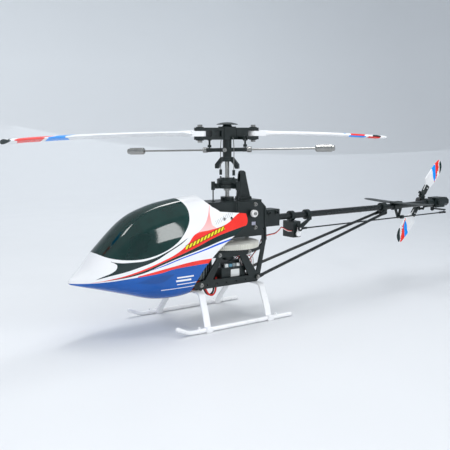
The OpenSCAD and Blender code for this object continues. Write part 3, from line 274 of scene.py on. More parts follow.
def curve_of(p, value, points):
    """A painted edge: the second coordinate as a function of the first, both in millimetres."""
    xs = [q[0] for q in points]
    ys = [q[1] for q in points]
    x0, x1, y0, y1 = min(xs), max(xs), min(ys) - 1, max(ys) + 1
    n = p.tree.nodes.new("ShaderNodeFloatCurve")
    p.link(p.span(value, x0 * MM, x1 * MM), n.inputs["Value"])
    curve = n.mapping.curves[0]
    dots = sorted(((q[0] - x0) / (x1 - x0), (q[1] - y0) / (y1 - y0)) for q in points)
    while len(curve.points) < len(dots):
        curve.points.new(0.5, 0.5)
    for dot, (a, b) in zip(curve.points, dots):
        dot.location = (a, b)
        dot.handle_type = "AUTO_CLAMPED"
    n.mapping.update()
    return p.span(n.outputs[0], 0, 1, y0 * MM, y1 * MM)


def between(p, value, low, high, soft=0.12 * MM):
    """1 where value lies between low and high, which may be sockets."""
    above = p.math("ADD", p.math("DIVIDE", p.math("SUBTRACT", value, low), soft), 0.5, clamp=True)
    below = p.math("ADD", p.math("DIVIDE", p.math("SUBTRACT", high, value), soft), 0.5, clamp=True)
    return p.math("MULTIPLY", above, below)


RED = (0.86, 0.030, 0.020)
BLUE = (0.0, 0.092, 0.41)
SKY = (0.0, 0.30, 0.95)
WHITE = (0.86, 0.87, 0.88)
INK = (0.006, 0.022, 0.022)


def lacquer(p, base, rough=0.14):
    """Glossy painted skin: faint orange peel and dust."""
    dust = p.span(p.noise(420, 5, 0.65), 0.62, 0.78, 0, 0.05)
    base = p.mix(dust, base, (0.55, 0.56, 0.57))
    p.set(Base_Color=base, Roughness=p.span(p.noise(60, 4), 0.3, 0.7, rough - 0.04, rough + 0.09))
    p.bump(p.noise(700, 2), 0.06, 0.05 * MM)


def canopy_paint():
    p = Paint("canopy_paint")
    x, _, z = p.axes()
    x = p.math("SUBTRACT", x, MAST)
    cloud = p.span(p.noise(30, 3), 0.3, 0.7)
    base = p.mix(cloud, (0.82, 0.83, 0.85), WHITE)

    def layer(base, colour, low, high, start, end, soft=0.12 * MM, weight=1.0):
        within = between(p, x, start * MM, end * MM)
        cover = p.math("MULTIPLY", within, between(p, z, low, high, soft))
        if weight != 1.0:
            cover = p.math("MULTIPLY", cover, weight)
        shade = p.mix(cloud, tint(colour, 0.9), tint(colour, 1.08))
        return p.mix(cover, base, shade)

    def edge(*points):
        return curve_of(p, x, points)

    # blue belly and the darker chevron in it
    belly = edge((56, 73.6), (74, 73.2), (94, 72.3), (115, 69), (132, 67.7), (153, 66.2),
                 (176, 64.7), (207, 64))
    base = layer(base, BLUE, 0.0, belly, 40, 210)
    dark = edge((96, 66.2), (110, 66.8), (141, 60.7))
    dark_low = edge((96, 66), (118, 57.5), (141, 60.5))
    base = layer(base, tint(BLUE, 0.55), dark_low, dark, 96, 141, 2 * MM, 0.6)
    # lower red stripe
    low_top = edge((47, 78.6), (62, 78.4), (76, 77.6), (100, 74.6), (121, 71.4), (140, 68.2))
    base = layer(base, RED, belly, low_top, 40, 140)
    # main red stripe, wide at the back and running out at the nose
    red_top = edge((-14, 129.8), (-5, 127.7), (2.5, 125.8), (11, 121.5), (20, 116.6), (30, 113.5),
                   (48, 110.9), (64.6, 109.1), (78, 98.7), (92, 89.7), (112, 82.1), (133, 75.6),
                   (153, 70.4), (170, 67.4), (188, 64.8))
    red_low = edge((-14, 113), (12, 108.4), (40, 102.4), (64, 94.6), (84, 88.5), (112, 80.3),
                   (133, 73.7), (153, 69), (170, 66.7), (188, 64.6))
    base = layer(base, RED, red_low, red_top, -16, 188)
    # pale spike over the red stripe
    spike_front = curve_of(p, z, [(109, 64.6), (117, 53.7), (125, 47.5), (138, 40.3)])
    spike_back = curve_of(p, z, [(109, 36.5), (112, 37.4), (117, 43.2), (125, 43.7), (138, 40.1)])
    fade = p.span(z, 138 * MM, 108 * MM, 0.95, 0.35)
    spike = p.math("MULTIPLY", between(p, x, spike_back, spike_front, 0.5 * MM), fade)
    spike = p.math("MULTIPLY", spike, between(p, z, p.math("SUBTRACT", red_top, 1 * MM), 139 * MM))
    base = p.mix(spike, base, (0.90, 0.16, 0.13))
    # black stripe under the red one
    black_low = edge((-14, 105), (6, 102.1), (22, 99.7), (58, 91.4), (87, 84.8), (112, 78),
                     (133, 71.4), (153, 67.9), (176, 65.8))
    base = layer(base, INK, black_low, red_low, -16, 176)
    # thin blue line
    blue_top = edge((17, 98.6), (39, 94.5), (57, 90.1), (87, 83.7), (112, 77.1), (125, 73.6))
    blue_low = edge((17, 97.4), (21, 96.3), (39, 92.4), (57, 88.5), (87, 82.3), (112, 76.0), (125, 73.4))
    base = layer(base, (0.0, 0.10, 0.70), blue_low, blue_top, 17, 125)
    # black swoosh under the window
    swoosh_top = edge((77.6, 104.9), (93, 97.3), (109, 90.6), (124, 86), (140, 84), (153, 84),
                      (163, 85), (170, 87), (187, 90))
    swoosh_low = edge((77.6, 104.7), (86, 99.4), (103, 91.4), (121, 83), (137, 78.4), (153, 74.4),
                      (170, 71.2), (184, 67.9), (187, 67))
    swoosh_nose = curve_of(p, z, [(67.5, 185), (69.5, 181), (71.6, 176), (74.5, 168.5), (78, 163.6),
                                  (81.8, 162.4), (84, 164.2), (86, 168)])
    ahead_of_tip = between(p, x, 77.6 * MM, swoosh_nose)
    swoosh = p.math("MULTIPLY", between(p, z, swoosh_low, swoosh_top), ahead_of_tip)
    base = p.mix(swoosh, base, INK)
    # generic flashes: yellow dashes on the red stripe, white bars on the blue, grey strokes at the back
    middle = edge((22, 113), (50, 104.5), (84, 93.5))
    dashes = p.math("PINGPONG", p.math("ADD", x, p.math("MULTIPLY", z, 0.55)), 2.1 * MM)
    dashes = between(p, dashes, 0.75 * MM, 4 * MM, 0.25 * MM)
    band = between(p, z, p.math("SUBTRACT", middle, 1.9 * MM), p.math("ADD", middle, 1.9 * MM), 0.3 * MM)
    rim = between(p, z, p.math("SUBTRACT", middle, 2.7 * MM), p.math("ADD", middle, 2.7 * MM), 0.3 * MM)
    run = between(p, x, 26 * MM, 82 * MM)
    base = p.mix(p.math("MULTIPLY", p.math("MULTIPLY", rim, run), 0.75), base, (0.05, 0.02, 0.0))
    base = p.mix(p.math("MULTIPLY", p.math("MULTIPLY", band, dashes), run), base, (0.80, 0.78, 0.02))
    bars = ((60.5, 62.2, 52, 74), (56.4, 58.6, 56, 76), (52.6, 53.6, 49, 75), (48.0, 48.9, 49, 95))
    for low, high, start, end in bars:
        lean = p.math("ADD", x, p.math("MULTIPLY", z, -0.3))
        along = between(p, lean, start * MM, end * MM)
        base = p.mix(p.math("MULTIPLY", between(p, z, low * MM, high * MM), along), base, WHITE)
    lean = p.math("ADD", x, p.math("MULTIPLY", z, 0.9))
    strokes = between(p, p.math("PINGPONG", lean, 1.5 * MM), 0.95 * MM, 3 * MM, 0.2 * MM)
    slope = p.math("MULTIPLY", x, -0.35)
    line = between(p, z, p.math("ADD", slope, 128.5 * MM), p.math("ADD", slope, 133.5 * MM))
    place = p.math("MULTIPLY", between(p, x, 8 * MM, 38 * MM), line)
    base = p.mix(p.math("MULTIPLY", p.math("MULTIPLY", strokes, place), 0.45), base, (0.12, 0.14, 0.15))
    lacquer(p, base)
    return p.material


def window_tint():
    p = Paint("window_tint")
    cloud = p.noise(24, 3)
    base = p.mix(p.span(cloud, 0.3, 0.7), (0.0015, 0.016, 0.014), (0.003, 0.034, 0.029))
    p.set(Base_Color=base, Roughness=p.span(p.noise(500, 4), 0.3, 0.8, 0.03, 0.09))
    p.bump(p.noise(120, 2), 0.03, 0.05 * MM)
    return p.material


def blade_paint(name, front):
    """White blade with a blue, a red and a black flash.

    s is the distance from the mast, w the distance from the trailing edge.
    """
    p = Paint(name)
    x, y, _ = p.axes()
    turn = 1.0 if front else -1.0
    s = p.math("MULTIPLY", p.math("SUBTRACT", x, MAST), turn)
    w = p.math("SUBTRACT", (BLADE_CHORD - BLADE_LEAD) * MM, p.math("MULTIPLY", y, turn))
    normal = p.tree.nodes.new("ShaderNodeSeparateXYZ")
    p.tree.links.new(p.coords.node.outputs["Normal"], normal.inputs[0])
    w = p.math("MULTIPLY", w, p.math("SIGN", normal.outputs[2]))  # negative on the underside
    cloud = p.span(p.noise(25, 3), 0.3, 0.7)
    base = p.mix(cloud, (0.80, 0.815, 0.83), WHITE)
    flashes = (
        (SKY, [(-31, 195), (-20, 201), (-8, 208), (0, 214), (10, 203), (20, 192), (24, 188), (31, 188)],
         [(-31, 227), (-20, 228), (0, 232), (10, 221), (20, 210), (24, 196), (31, 187)]),
        (RED, [(-31, 232), (-20, 232.7), (0, 236), (10, 225), (20, 213.5), (26, 202), (31, 198)],
         [(-31, 255), (-20, 257), (-3, 263), (0, 266), (6, 262), (11, 258), (16, 251), (20, 243),
          (26, 231), (31, 224)]),
        (INK, [(6, 269), (13, 265), (18, 261), (20, 253), (26, 246), (31, 240)],
         [(6, 271), (13, 267.5), (18, 263.5), (20, 258), (31, 257)]),
    )
    for colour, inner, outer in flashes:
        shade = p.mix(cloud, tint(colour, 0.9), tint(colour, 1.08))
        flash = between(p, s, curve_of(p, w, inner), curve_of(p, w, outer), 0.3 * MM)
        base = p.mix(flash, base, shade)
    lacquer(p, base, 0.3)
    p.shader.inputs["Specular IOR Level"].default_value = 0.12
    return p.material


def tail_blade_paint():
    """White blades with a blue patch, a jagged red stripe and a black edge.

    s runs out from the hub, c across the blade.
    """
    p = Paint("tail_blade_paint")
    hub = (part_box("tail_hub")[0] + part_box("tail_hub")[1]) / 2
    x, _, z = p.axes()
    dx = p.math("SUBTRACT", x, hub.x)
    dz = p.math("SUBTRACT", z, hub.z)
    rise, run = math.cos(TAIL_LEAN), math.sin(TAIL_LEAN)
    s = p.math("ADD", p.math("MULTIPLY", dx, -run), p.math("MULTIPLY", dz, rise))
    c = p.math("ADD", p.math("MULTIPLY", dx, rise), p.math("MULTIPLY", dz, run))
    c = p.math("MULTIPLY", c, p.math("SIGN", s))  # the lower blade is the upper one turned half round
    s = p.math("ABSOLUTE", s)
    cloud = p.span(p.noise(40, 3), 0.3, 0.7)
    base = p.mix(cloud, (0.80, 0.815, 0.83), WHITE)
    jag = p.span(p.noise(330, 2), 0.38, 0.62, -1.3 * MM, 1.3 * MM)
    red_lead = curve_of(p, s, [(39, -10.3), (50, -7.5), (56, -2), (63, 4.7), (66, 8), (75, 14)])
    red_trail = curve_of(p, s, [(39, -11), (50, -9.8), (56, -7.5), (60, -6), (64.5, -3.9),
                                (70, -0.5), (75, 2.1)])
    sky_lead = curve_of(p, s, [(42, -9.5), (46, -2), (51, 3), (54.5, 8), (58, 9.5), (63, 6.5)])
    ink_edge = curve_of(p, s, [(57, -14), (59.5, -11.2), (66, -6.3), (71, -1.5), (75, -0.5)])
    within = between(p, s, 42 * MM, 63 * MM)
    patch = p.math("MULTIPLY", between(p, c, red_lead, sky_lead, 0.3 * MM), within)
    base = p.mix(patch, base, p.mix(cloud, tint(SKY, 0.9), tint(SKY, 1.08)))
    stripe = between(p, c, p.math("ADD", red_trail, jag), red_lead, 0.3 * MM)
    stripe = p.math("MULTIPLY", stripe, p.math("GREATER_THAN", s, 39 * MM))
    base = p.mix(stripe, base, p.mix(cloud, tint(RED, 0.9), tint(RED, 1.08)))
    outboard = p.math("GREATER_THAN", s, 57 * MM)
    black = p.math("MULTIPLY", between(p, c, -30 * MM, ink_edge, 0.3 * MM), outboard)
    base = p.mix(black, base, INK)
    lacquer(p, base, 0.25)
    p.shader.inputs["Specular IOR Level"].default_value = 0.3
    return p.material


def rubber(name, colour):
    p = Paint(name)
    cloud = p.noise(160, 4)
    base = p.mix(p.span(cloud, 0.3, 0.7), tint(colour, 0.8), tint(colour, 1.15))
    p.set(Base_Color=base, Roughness=p.span(cloud, 0.3, 0.7, 0.42, 0.62))
    p.bump(p.noise(2600, 2), 0.2, 0.03 * MM)
    return p.material


def floor_paint():
    """Pale seamless paper with painted light and shade: painted paler up the wall, painted shade towards
    the far side and past the tail.
    """
    p = Paint("floor_paint")
    x, y, z = p.axes()
    aside = p.math("ADD", p.math("MULTIPLY", x, -0.76), p.math("MULTIPLY", y, -0.65))
    # painted light: the wall is painted paler than the floor, rising with height
    base = p.mix(p.span(z, 0.0, 0.5), (0.70, 0.715, 0.735), (0.90, 0.92, 0.94))
    # painted shade: darker towards the far side
    base = p.mix(p.span(aside, -0.1, 3.0, 0, 0.62), base, (0.40, 0.44, 0.48))
    towards_tail = p.math("ADD", p.math("MULTIPLY", x, -0.80), p.math("MULTIPLY", y, 0.59))
    # painted shade: darker past the tail
    base = p.mix(p.span(towards_tail, -0.1, 0.7, 0, 0.42), base, (0.43, 0.45, 0.48))
    base = p.mix(p.span(p.noise(3, 3), 0.3, 0.7, 0, 0.04), base, (0.6, 0.6, 0.62))
    p.set(Base_Color=base, Roughness=p.span(p.noise(12, 3), 0.3, 0.7, 0.5, 0.62))
    return p.material


# ---------------------------------------------------------------- mesh helpers

def spline(points, steps):
    """A smooth curve through given points."""
    out = []
    p = [Vector(q) for q in points]
    for i in range(len(p) - 1):
        a, b, c, d = p[max(i - 1, 0)], p[i], p[i + 1], p[min(i + 2, len(p) - 1)]
        for k in range(steps):
            t = k / steps
            out.append((2 * b + (c - a) * t + (2 * a - 5 * b + 4 * c - d) * t * t
                        + (3 * b - a - 3 * c + d) * t ** 3) / 2)
    out.append(p[-1])
    return out


def circle(x, y, radius, count):
    """The corners of a circle, anticlockwise."""
    turns = (math.tau * k / count for k in range(count))
    return [(x + radius * math.cos(a), y + radius * math.sin(a)) for a in turns]


def piece(name, verts, faces, material, angle=35):
    mesh = bpy.data.meshes.new(name)
    mesh.from_pydata([tuple(v) for v in verts], [], faces)
    bm = bmesh.new()
    bm.from_mesh(mesh)
    bmesh.ops.recalc_face_normals(bm, faces=bm.faces)
    bm.to_mesh(mesh)
    bm.free()
    obj = bpy.data.objects.new(name, mesh)
    bpy.context.scene.collection.objects.link(obj)
    if material:
        mesh.materials.append(material)
    smooth(obj, angle)
    return obj


def smooth(obj, angle):
    mesh = obj.data
    for f in mesh.polygons:
        f.use_smooth = True
    mesh.set_sharp_from_angle(angle=math.radians(angle))


def skin(rings, closed_ends=True):
    n = len(rings[0])
    verts = [v for r in rings for v in r]
    faces = [(i * n + j, i * n + (j + 1) % n, (i + 1) * n + (j + 1) % n, (i + 1) * n + j)
             for i in range(len(rings) - 1) for j in range(n)]
    if closed_ends:
        faces.append(tuple(reversed(range(n))))
        faces.append(tuple((len(rings) - 1) * n + j for j in range(n)))
    return verts, faces


def cut(obj, cutter, operation="DIFFERENCE"):
    """Cuts obj with another mesh and throws the cutter away."""
    mod = obj.modifiers.new("cut", "BOOLEAN")
    mod.operation = operation
    mod.solver = "EXACT"
    mod.object = cutter
    apply_modifiers(obj)
    bpy.data.objects.remove(cutter)


def apply_modifiers(obj):
    graph = bpy.context.evaluated_depsgraph_get()
    mesh = bpy.data.meshes.new_from_object(obj.evaluated_get(graph))
    obj.modifiers.clear()
    obj.data = mesh


def round_edges(obj, width, segments):
    """Rounds an object's sharp edges; the width is in millimetres."""
    mod = obj.modifiers.new("round", "BEVEL")
    mod.width = width * MM
    mod.segments = segments
    mod.limit_method = "ANGLE"
    apply_modifiers(obj)


def prism(outline, low, high, plane="XZ"):
    """An outline in millimetres, extruded between two values of the third axis."""
    if plane == "XZ":
        rings = [[at(x, t, z) for x, z in outline] for t in (low, high)]
    else:
        rings = [[at(x, y, t) for x, y in outline] for t in (low, high)]
    verts, faces = skin(rings)
    return piece("cutter", verts, faces, None)


def tube(name, route, radius, material, body, sides=12):
    """A wire swept along a route given in millimetres."""
    path = spline(route, 6)
    rings = []
    for i, c in enumerate(path):
        t = (path[min(i + 1, len(path) - 1)] - path[max(i - 1, 0)]).normalized()
        s = t.cross(Vector((0, 0, 1)) if abs(t.z) < 0.9 else Vector((1, 0, 0))).normalized()
        u = s.cross(t)
        rings.append([at(*(c + radius * (math.cos(a) * s + math.sin(a) * u)))
                      for a in (math.tau * k / sides for k in range(sides))])
    verts, faces = skin(rings)
    obj = piece(name, verts, faces, material)
    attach(obj, body)
    return obj


# ---------------------------------------------------------------- canopy and window

HULL = [  # distance ahead of the mast, top, belly, half width
    (206.2, 65.0, 64.0, 0.8), (205, 67.5, 62.5, 3.2), (200, 71, 60.8, 8.5), (190, 79.5, 58, 15.5),
    (172, 99, 53, 24), (140, 127.5, 43.5, 31), (110, 140, 35, 34), (80, 145.6, 33, 35),
    (55, 148, 36, 34.5), (35, 149, 39, 33.5), (15, 148, 41, 32.5), (-14, 146, 44, 31),
]
CANOPY_EDGE = [(-8.5, 140), (-9.7, 126), (-8.3, 113.5), (8.6, 103.2), (31.6, 90), (46.6, 77.8),
               (56, 68), (61.4, 59.4), (66, 47.7), (67, 30)]
WINDOW_EDGE = [(182, 97), (171, 90.5), (152, 86.8), (130, 87.0), (107, 92.8), (88, 103.5),
               (74.5, 119), (70.5, 131), (71.5, 140), (77, 150)]
NOTCH = 24.5
WALL = 1.2


def hull_ring(x, top, low, half, wall, count):
    middle = low + (top - low) * 0.42
    ring = []
    for k in range(count):
        a = math.tau * k / count
        s, c = math.sin(a), math.cos(a)
        power = 0.95 if s > 1e-9 else 0.87
        y = (half - wall) * math.copysign(abs(c) ** power, c)
        reach = top - middle - wall if s > 1e-9 else middle - low - wall
        ring.append(at(x, y, middle + reach * math.copysign(abs(s) ** power, s)))
    return ring


def stations(steps):
    """The hull's stations, eased between the ones given."""
    pairs = [(Vector((h[0], h[1], 0)), Vector((h[2], h[3], 0))) for h in HULL]
    first = spline([q[0] for q in pairs], steps)
    second = spline([q[1] for q in pairs], steps)
    return [(a.x, a.y, b.x, b.y) for a, b in zip(first, second)]


def hull_shell(name, material):
    steps, count = 7, 120
    rows = stations(steps)
    outer = [hull_ring(*r, 0, count) for r in rows]
    inner = [hull_ring(*r, WALL, count) for r in reversed(rows[2 * steps:])]
    verts, faces = skin(outer + inner)
    return piece(name, verts, faces, material, 28)


def window_prism():
    outline = [(q.x, q.y) for q in spline([(x, z, 0) for x, z in WINDOW_EDGE], 8)]
    return prism(outline + [(90, 170), (190, 170)], -50, 50)


def canopy(paint, tinted):
    shell = hull_shell("canopy_skin", paint)
    back = [(q.x, q.y) for q in spline([(x, z, 0) for x, z in CANOPY_EDGE], 6)]
    cut(shell, prism(back + [(-40, 20), (-40, 160), (-8.5, 160)], -50, 50))
    notch = [(-40, -NOTCH), (28, -NOTCH), (37, -21.5), (43, -17), (46.5, -12), (48, -6.3)]
    cut(shell, prism(notch + [(x, -y) for x, y in reversed(notch)], 100, 170, "XY"))
    cut(shell, window_prism())
    for x in (13.3, 24.0):  # two round holes through each side
        ring = circle(x, 121.3, 1.87, 32)
        cut(shell, prism(ring, 20, 40))
        cut(shell, prism(ring, -40, -20))
    smooth(shell, 28)
    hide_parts("canopy")
    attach(shell, "airframe")
    glass = hull_shell("canopy_window_skin", tinted)
    cut(glass, window_prism(), "INTERSECT")
    smooth(glass, 28)
    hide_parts("canopy_window")
    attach(glass, "airframe")


# ---------------------------------------------------------------- blades

def foil(t, x):
    return 5 * t * (0.2969 * math.sqrt(x) - 0.126 * x - 0.3516 * x * x + 0.2843 * x ** 3 - 0.1036 * x ** 4)


def foil_ring(x, chord, t, lead, z, pitch, sign, count=25):
    """One section of a blade; sign is -1 for the rear blade, which is the front one turned half round."""
    steps = [(1 - math.cos(math.pi * i / (count - 1))) / 2 for i in range(count)]
    outline = [(q, 1) for q in steps] + [(q, -1) for q in reversed(steps[1:-1])]
    ring = []
    for q, side in outline:
        y = q * chord - lead
        h = side * (foil(t, q) * chord + 0.15) + (0.3 * foil(t, q) * chord if side > 0 else 0)
        ring.append(at(sign * x, sign * (y * math.cos(pitch) + h * math.sin(pitch)),
                       z - y * math.sin(pitch) + h * math.cos(pitch)))
    return ring


def main_blade(name, node, body, sign, pitch, material):
    spindle = SPINDLE_Z / MM
    start, neck, droop, tip = 45.0, 52, 6.9, 7
    root_chord, root_half = 13.2, 6.6
    reach = ROTOR_R / MM
    rings = []
    n = 72
    for i in range(n + 1):
        s = i / n
        x = start + (reach - start) * s
        grow = min(1.0, max(0.0, (x - neck) / 26))
        ease = grow * grow * (3 - 2 * grow)
        rounding = max(0.0, (x - (reach - tip)) / tip)
        chord = root_chord + (BLADE_CHORD - root_chord) * ease - 3.6 * rounding ** 2
        t = (5.6 - 1.6 * ease) / chord
        sag = max(0.0, (x - neck) / (reach - neck))
        lead = root_half + (BLADE_LEAD - root_half) * ease - 1.2 * rounding ** 2
        rings.append(foil_ring(x, chord, t, lead, spindle - droop * sag * sag,
                               math.radians(pitch) * ease, sign))
    verts, faces = skin(rings)
    obj = piece(name, verts, faces, material, 40)
    # root: a drilled disc that the grip holds, running out into the blade
    disc = []
    for k in range(49):
        a = math.pi / 2 + math.pi * k / 48
        disc.append((BLADE_BOLT + root_half * math.cos(a), root_half * math.sin(a)))
    disc += [(54, -root_half), (56, 0), (54, root_half)]
    outline = [(sign * x, sign * y) for x, y in disc]
    root = prism(outline, spindle - 3, spindle + 3, "XY")
    root.data.materials.append(material)
    cut(obj, root, "UNION")
    hole = [(sign * x, y) for x, y in circle(BLADE_BOLT, 0, 1.55, 32)]
    cut(obj, prism(hole, spindle - 6, spindle + 6, "XY"))
    smooth(obj, 40)
    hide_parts(node)
    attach(obj, body)


# ---------------------------------------------------------------- landing gear, stabiliser and leads

def rounded(width, height, radius, corner=4):
    """The outline of a rounded bar's section."""
    out = []
    for sx, sy, turn in ((1, 1, 0), (-1, 1, 90), (-1, -1, 180), (1, -1, 270)):
        for k in range(corner + 1):
            a = math.radians(turn + 90 * k / corner)
            out.append((sx * (width / 2 - radius) + radius * math.cos(a),
                        sy * (height / 2 - radius) + radius * math.sin(a)))
    return out


def landing_leg(name, x, inner, material):
    """The two halves of a white bow, each with the foot block that holds its skid tube."""
    lean, foot, bend, top = 7.5, 6.4, 24, 38.7
    path = spline([(bend, top, 0), (29, 37, 0), (32.6, 32.4, 0), (44, 17, 0),
                   (SKID_HALF - 2.4, foot - 1.5, 0)], 8)
    flats = [Vector((inner + (bend - inner) * k / 6, top, 0)) for k in range(6)]
    path = flats + path
    for side, word in ((1, "port"), (-1, "starboard")):
        rings = []
        for i, q in enumerate(path):
            t = (path[min(i + 1, len(path) - 1)] - path[max(i - 1, 0)]).normalized()
            centre_x = x - lean * min(1.0, max(0.0, (q.y - 4) / 34))
            rings.append([at(centre_x + a, side * (q.x - b * t.y), q.y + b * t.x)
                          for a, b in rounded(8.5, 2.6, 0.9)])
        verts, faces = skin(rings)
        obj = piece(f"{name}_{word}", verts, faces, material, 40)
        corners = ((0, 0), (8.5, 0), (8.5, 4.6), (7.6, foot), (0.9, foot), (0, 4.6))
        foot_piece = prism([(x - 4.25 + a, b) for a, b in corners],
                           side * (SKID_HALF - 3.6), side * (SKID_HALF + 3.6))
        round_edges(foot_piece, 0.6, 3)
        foot_piece.data.materials.append(material)
        cut(obj, foot_piece, "UNION")
        bore = circle(side * SKID_HALF, SKID_Z, 2.52, 40)
        verts, faces = skin([[at(x + dx, y, z) for y, z in bore] for dx in (-8, 8)])
        cut(obj, piece("cutter", verts, faces, None))
        smooth(obj, 40)
        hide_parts("landing_legs")
        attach(obj, "airframe")


def stabiliser(material):
    half, boom = 61.5, BOOM_Z / MM
    rings = []
    n = 60
    for i in range(-n, n + 1):
        s = abs(i) / n
        tip = max(0.0, (s - 0.86) / 0.14) ** 3
        lead = -290 - 8 * s * s - 7 * tip
        rear = -312.5 - 2 * s + 5 * tip
        z = boom + 5 + 1.2 * s * s
        t = 1.0 - 0.35 * s - 0.3 * tip
        ring = []
        for q in range(24):
            a = math.tau * q / 24
            ring.append(at((lead + rear) / 2 + (lead - rear) / 2 * math.cos(a), half * i / n,
                           z + t * math.sin(a) * (1 + 0.3 * math.cos(a))))
        rings.append(ring)
    verts, faces = skin(rings)
    obj = piece("stabiliser_plate", verts, faces, material, 40)
    back, front, side = -312, -295, 4.4
    saddle = prism([(back, -side), (front, -side), (front, side), (back, side)],
                   boom + 3.6, boom + 6.6, "XY")
    round_edges(saddle, 0.5, 2)
    saddle.data.materials.append(material)
    cut(obj, saddle, "UNION")
    ring = circle(0, boom, 5.42, 48)
    verts, faces = skin([[at(x, y, z) for y, z in ring] for x in (-330, -280)])
    cut(obj, piece("cutter", verts, faces, None))
    smooth(obj, 40)
    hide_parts("stabiliser")
    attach(obj, "airframe")


BATTERY_ROUTE = [(46.2, 5, 44), (41.5, 5.5, 43.5), (37.5, 7, 38), (33.5, 8, 31), (28, 8, 28.8),
                 (23.5, 7.5, 32), (21.5, 6.5, 38.5), (20.8, 5, 45.5), (19, 4, 48.6)]
SERVO_ROUTE = [(-98, 6, 95), (-91, 6.5, 96), (-84, 8, 99), (-78, 9, 101.2), (-73, 10, 98),
               (-66, 11, 95), (-56, 12, 94.2), (-47.5, 12.5, 93), (-42, 12.5, 88.5), (-39.8, 12, 81.5),
               (-33.5, 10.5, 73.5), (-27, 9, 65.5), (-17.9, 8, 57.7)]


def leads():
    red = rubber("lead_red", (0.75, 0.03, 0.02))
    black = rubber("lead_black", (0.012, 0.014, 0.014))
    white = rubber("lead_white", (0.7, 0.7, 0.68))
    made = [tube("battery_lead_red", BATTERY_ROUTE, 1.1, red, "airframe"),
            tube("battery_lead_black", [(x, y - 4.2, z) for x, y, z in BATTERY_ROUTE], 1.1, black,
                 "airframe")]
    # the servo's lead is a flat ribbon of three wires
    for k, (word, material) in enumerate((("white", white), ("red", red), ("black", black))):
        route = [(x, y, z + (k - 1) * 0.72) for x, y, z in SERVO_ROUTE]
        made.append(tube(f"servo_lead_{word}", route, 0.4, material, "airframe", 10))
    for y, (word, material) in zip((-6, -2, 2), (("white", white), ("red", red), ("black", black))):
        route = [(-17.4, y, 50), (-22, y * 1.1, 52), (-27, y * 1.2, 58), (-24, y * 1.2, 66),
                 (-18, y, 69), (-12.6, y, 65)]
        made.append(tube(f"gyro_lead_{word}", route, 0.7, material, "airframe", 10))
    for obj in made:
        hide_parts("leads")
    # thinner wires looped from the electronics' rear face to the top of them
    brown = rubber("lead_brown", (0.16, 0.05, 0.02))
    for k, material in enumerate((brown, red, white)):
        y, bow = 2.4 + 1.5 * k, 1.6 * k
        route = [(-17.1, y, 53 - k), (-24, y * 1.1, 53), (-31 - bow, y * 1.2, 59 - k),
                 (-30 - bow, y * 1.2, 68 + k), (-22, y, 70.6), (-12.1, y, 66)]
        obj = tube(f"signal_lead_{k + 1}", route, 0.55, material, "airframe", 10)


# ---------------------------------------------------------------- small parts

def block(name, low, high, material, rounding=0.25):
    """A small block with rounded edges, between two corners in millimetres."""
    outline = [(low[0], low[2]), (high[0], low[2]), (high[0], high[2]), (low[0], high[2])]
    obj = prism(outline, low[1], high[1])
    obj.name = name
    round_edges(obj, rounding, 2)
    obj.data.materials.append(material)
    smooth(obj, 40)
    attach(obj, "airframe")


def small_parts():
    """Blank labels and the plugs on top of the electronics."""
    lilac = moulded("label_lilac", (0.36, 0.37, 0.46), 0.3, 0.05, cast=0.06)
    paper = moulded("label_white", (0.72, 0.74, 0.73), 0.35, 0.05, cast=0.05)
    plug_white = moulded("plug_white", (0.62, 0.66, 0.66), 0.35, 0.1)
    plug_blue = moulded("plug_blue", (0.10, 0.25, 0.34), 0.35, 0.1)
    plug_grey = moulded("plug_grey", (0.20, 0.24, 0.25), 0.3, 0.1)
    block("frame_label", (-29.2, 18.0, 109.4), (-23.4, 18.2, 113.4), lilac, 0.08)
    block("electronics_label", (-8.5, 12.9, 48.8), (4.3, 13.45, 57.6), paper, 0.15)
    plugs = ((plug_white, -9.5), (plug_grey, -3.4), (plug_blue, 1.6), (plug_white, 7.4))
    for k, (material, x) in enumerate(plugs):
        top = 64.2 + 0.5 * (k % 2)
        block(f"plug_{k + 1}", (x, 9.3, 60.4), (x + 4.4, 12.6, top), material)


def mixing_wire_finish():
    """Steel wires with moulded black ball links at their feet."""
    p = Paint("mixing_wire_finish")
    _, _, z = p.axes()
    link_top = 176.05 * MM
    wire = p.math("GREATER_THAN", z, link_top)
    marks = p.noise(1800, 3, 0.5)
    cloud = p.span(p.noise(70, 5), 0.3, 0.7)
    steel = p.mix(cloud, (0.37, 0.37, 0.355), (0.28, 0.28, 0.27))
    plastic = p.mix(cloud, (0.003, 0.008, 0.008), (0.006, 0.013, 0.013))
    p.set(Base_Color=p.mix(wire, plastic, steel), Metallic=wire,
          Roughness=p.span(marks, 0.2, 0.8, 0.18, 0.4))
    p.bump(marks, 0.12, 0.02 * MM)
    return p.material


# ---------------------------------------------------------------- everything together

def dress(materials):
    """Gives each carried-over CAD node its material, by the record's slots."""
    by_node = {s["node"]: s["material_slot"] for s in frame["record"]["subparts"]}
    for name, obj in frame["nodes"].items():
        obj.data.materials.clear()
        obj.data.materials.append(materials[by_node[name]])


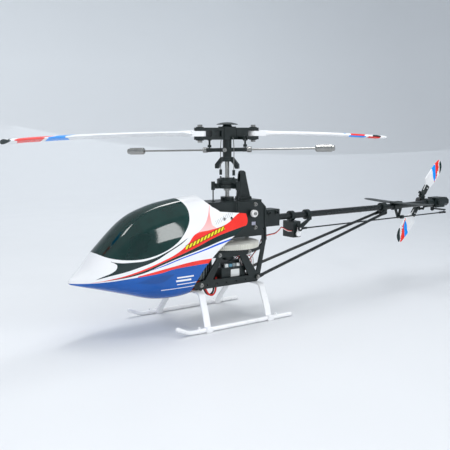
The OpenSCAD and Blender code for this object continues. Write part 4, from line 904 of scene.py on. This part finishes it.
def main():
    camera()
    studio()
    floor()
    black = (0.0035, 0.0095, 0.0095)
    materials = {
        "black_plastic": moulded("black_plastic", black, 0.38, worn=(0.035, 0.05, 0.05)),
        "black_tube": moulded("black_tube", (0.007, 0.011, 0.012), 0.3, 0.1, worn=(0.06, 0.065, 0.07)),
        "white_plastic": moulded("white_plastic", (0.84, 0.85, 0.865), 0.3, 0.1,
                                 worn=(0.9, 0.9, 0.9), gloss=0.4, cast=0.05),
        "canopy_paint": canopy_paint(),
        "window_tint": window_tint(),
        "white_rubber": rubber("white_rubber", (0.75, 0.75, 0.74)),
        "steel": metal("steel", (0.37, 0.37, 0.355), 0.2),
        "tail_hub_plastic": moulded("tail_hub_plastic", (0.02, 0.02, 0.022), 0.35),
        "motor_metal": metal("motor_metal", (0.45, 0.45, 0.46), 0.3, (1, 1, 8)),
        "heat_sink_metal": metal("heat_sink_metal", (0.16, 0.18, 0.18), 0.35),
        "pinion_brass": metal("pinion_brass", (0.65, 0.48, 0.2), 0.28),
        "gear_nylon": moulded("gear_nylon", (0.66, 0.66, 0.60), 0.42, 0.15, worn=(0.8, 0.8, 0.75)),
        "battery_wrap": moulded("battery_wrap", (0.55, 0.06, 0.02), 0.25, 0.1, gloss=0.5),
        "lead_sheath": rubber("lead_sheath", (0.4, 0.03, 0.02)),
        "blade_paint": blade_paint("blade_paint", True),
        "tail_blade_paint": tail_blade_paint(),
    }
    dress(materials)
    canopy(materials["canopy_paint"], materials["window_tint"])
    main_blade("blade_front_skin", "blade_front", "front_blade", 1, -4.5, materials["blade_paint"])
    rear_paint = blade_paint("blade_paint_rear", False)
    main_blade("blade_rear_skin", "blade_rear", "rear_blade", -1, -0.5, rear_paint)
    landing_leg("leg_front", 65.1, 12.6, materials["white_plastic"])
    landing_leg("leg_rear", -22.6, 0.0, materials["white_plastic"])
    stabiliser(materials["black_plastic"])
    leads()
    small_parts()
    wires = frame["nodes"]["mixing_wires"]
    wires.data.materials.clear()
    wires.data.materials.append(mixing_wire_finish())


main()
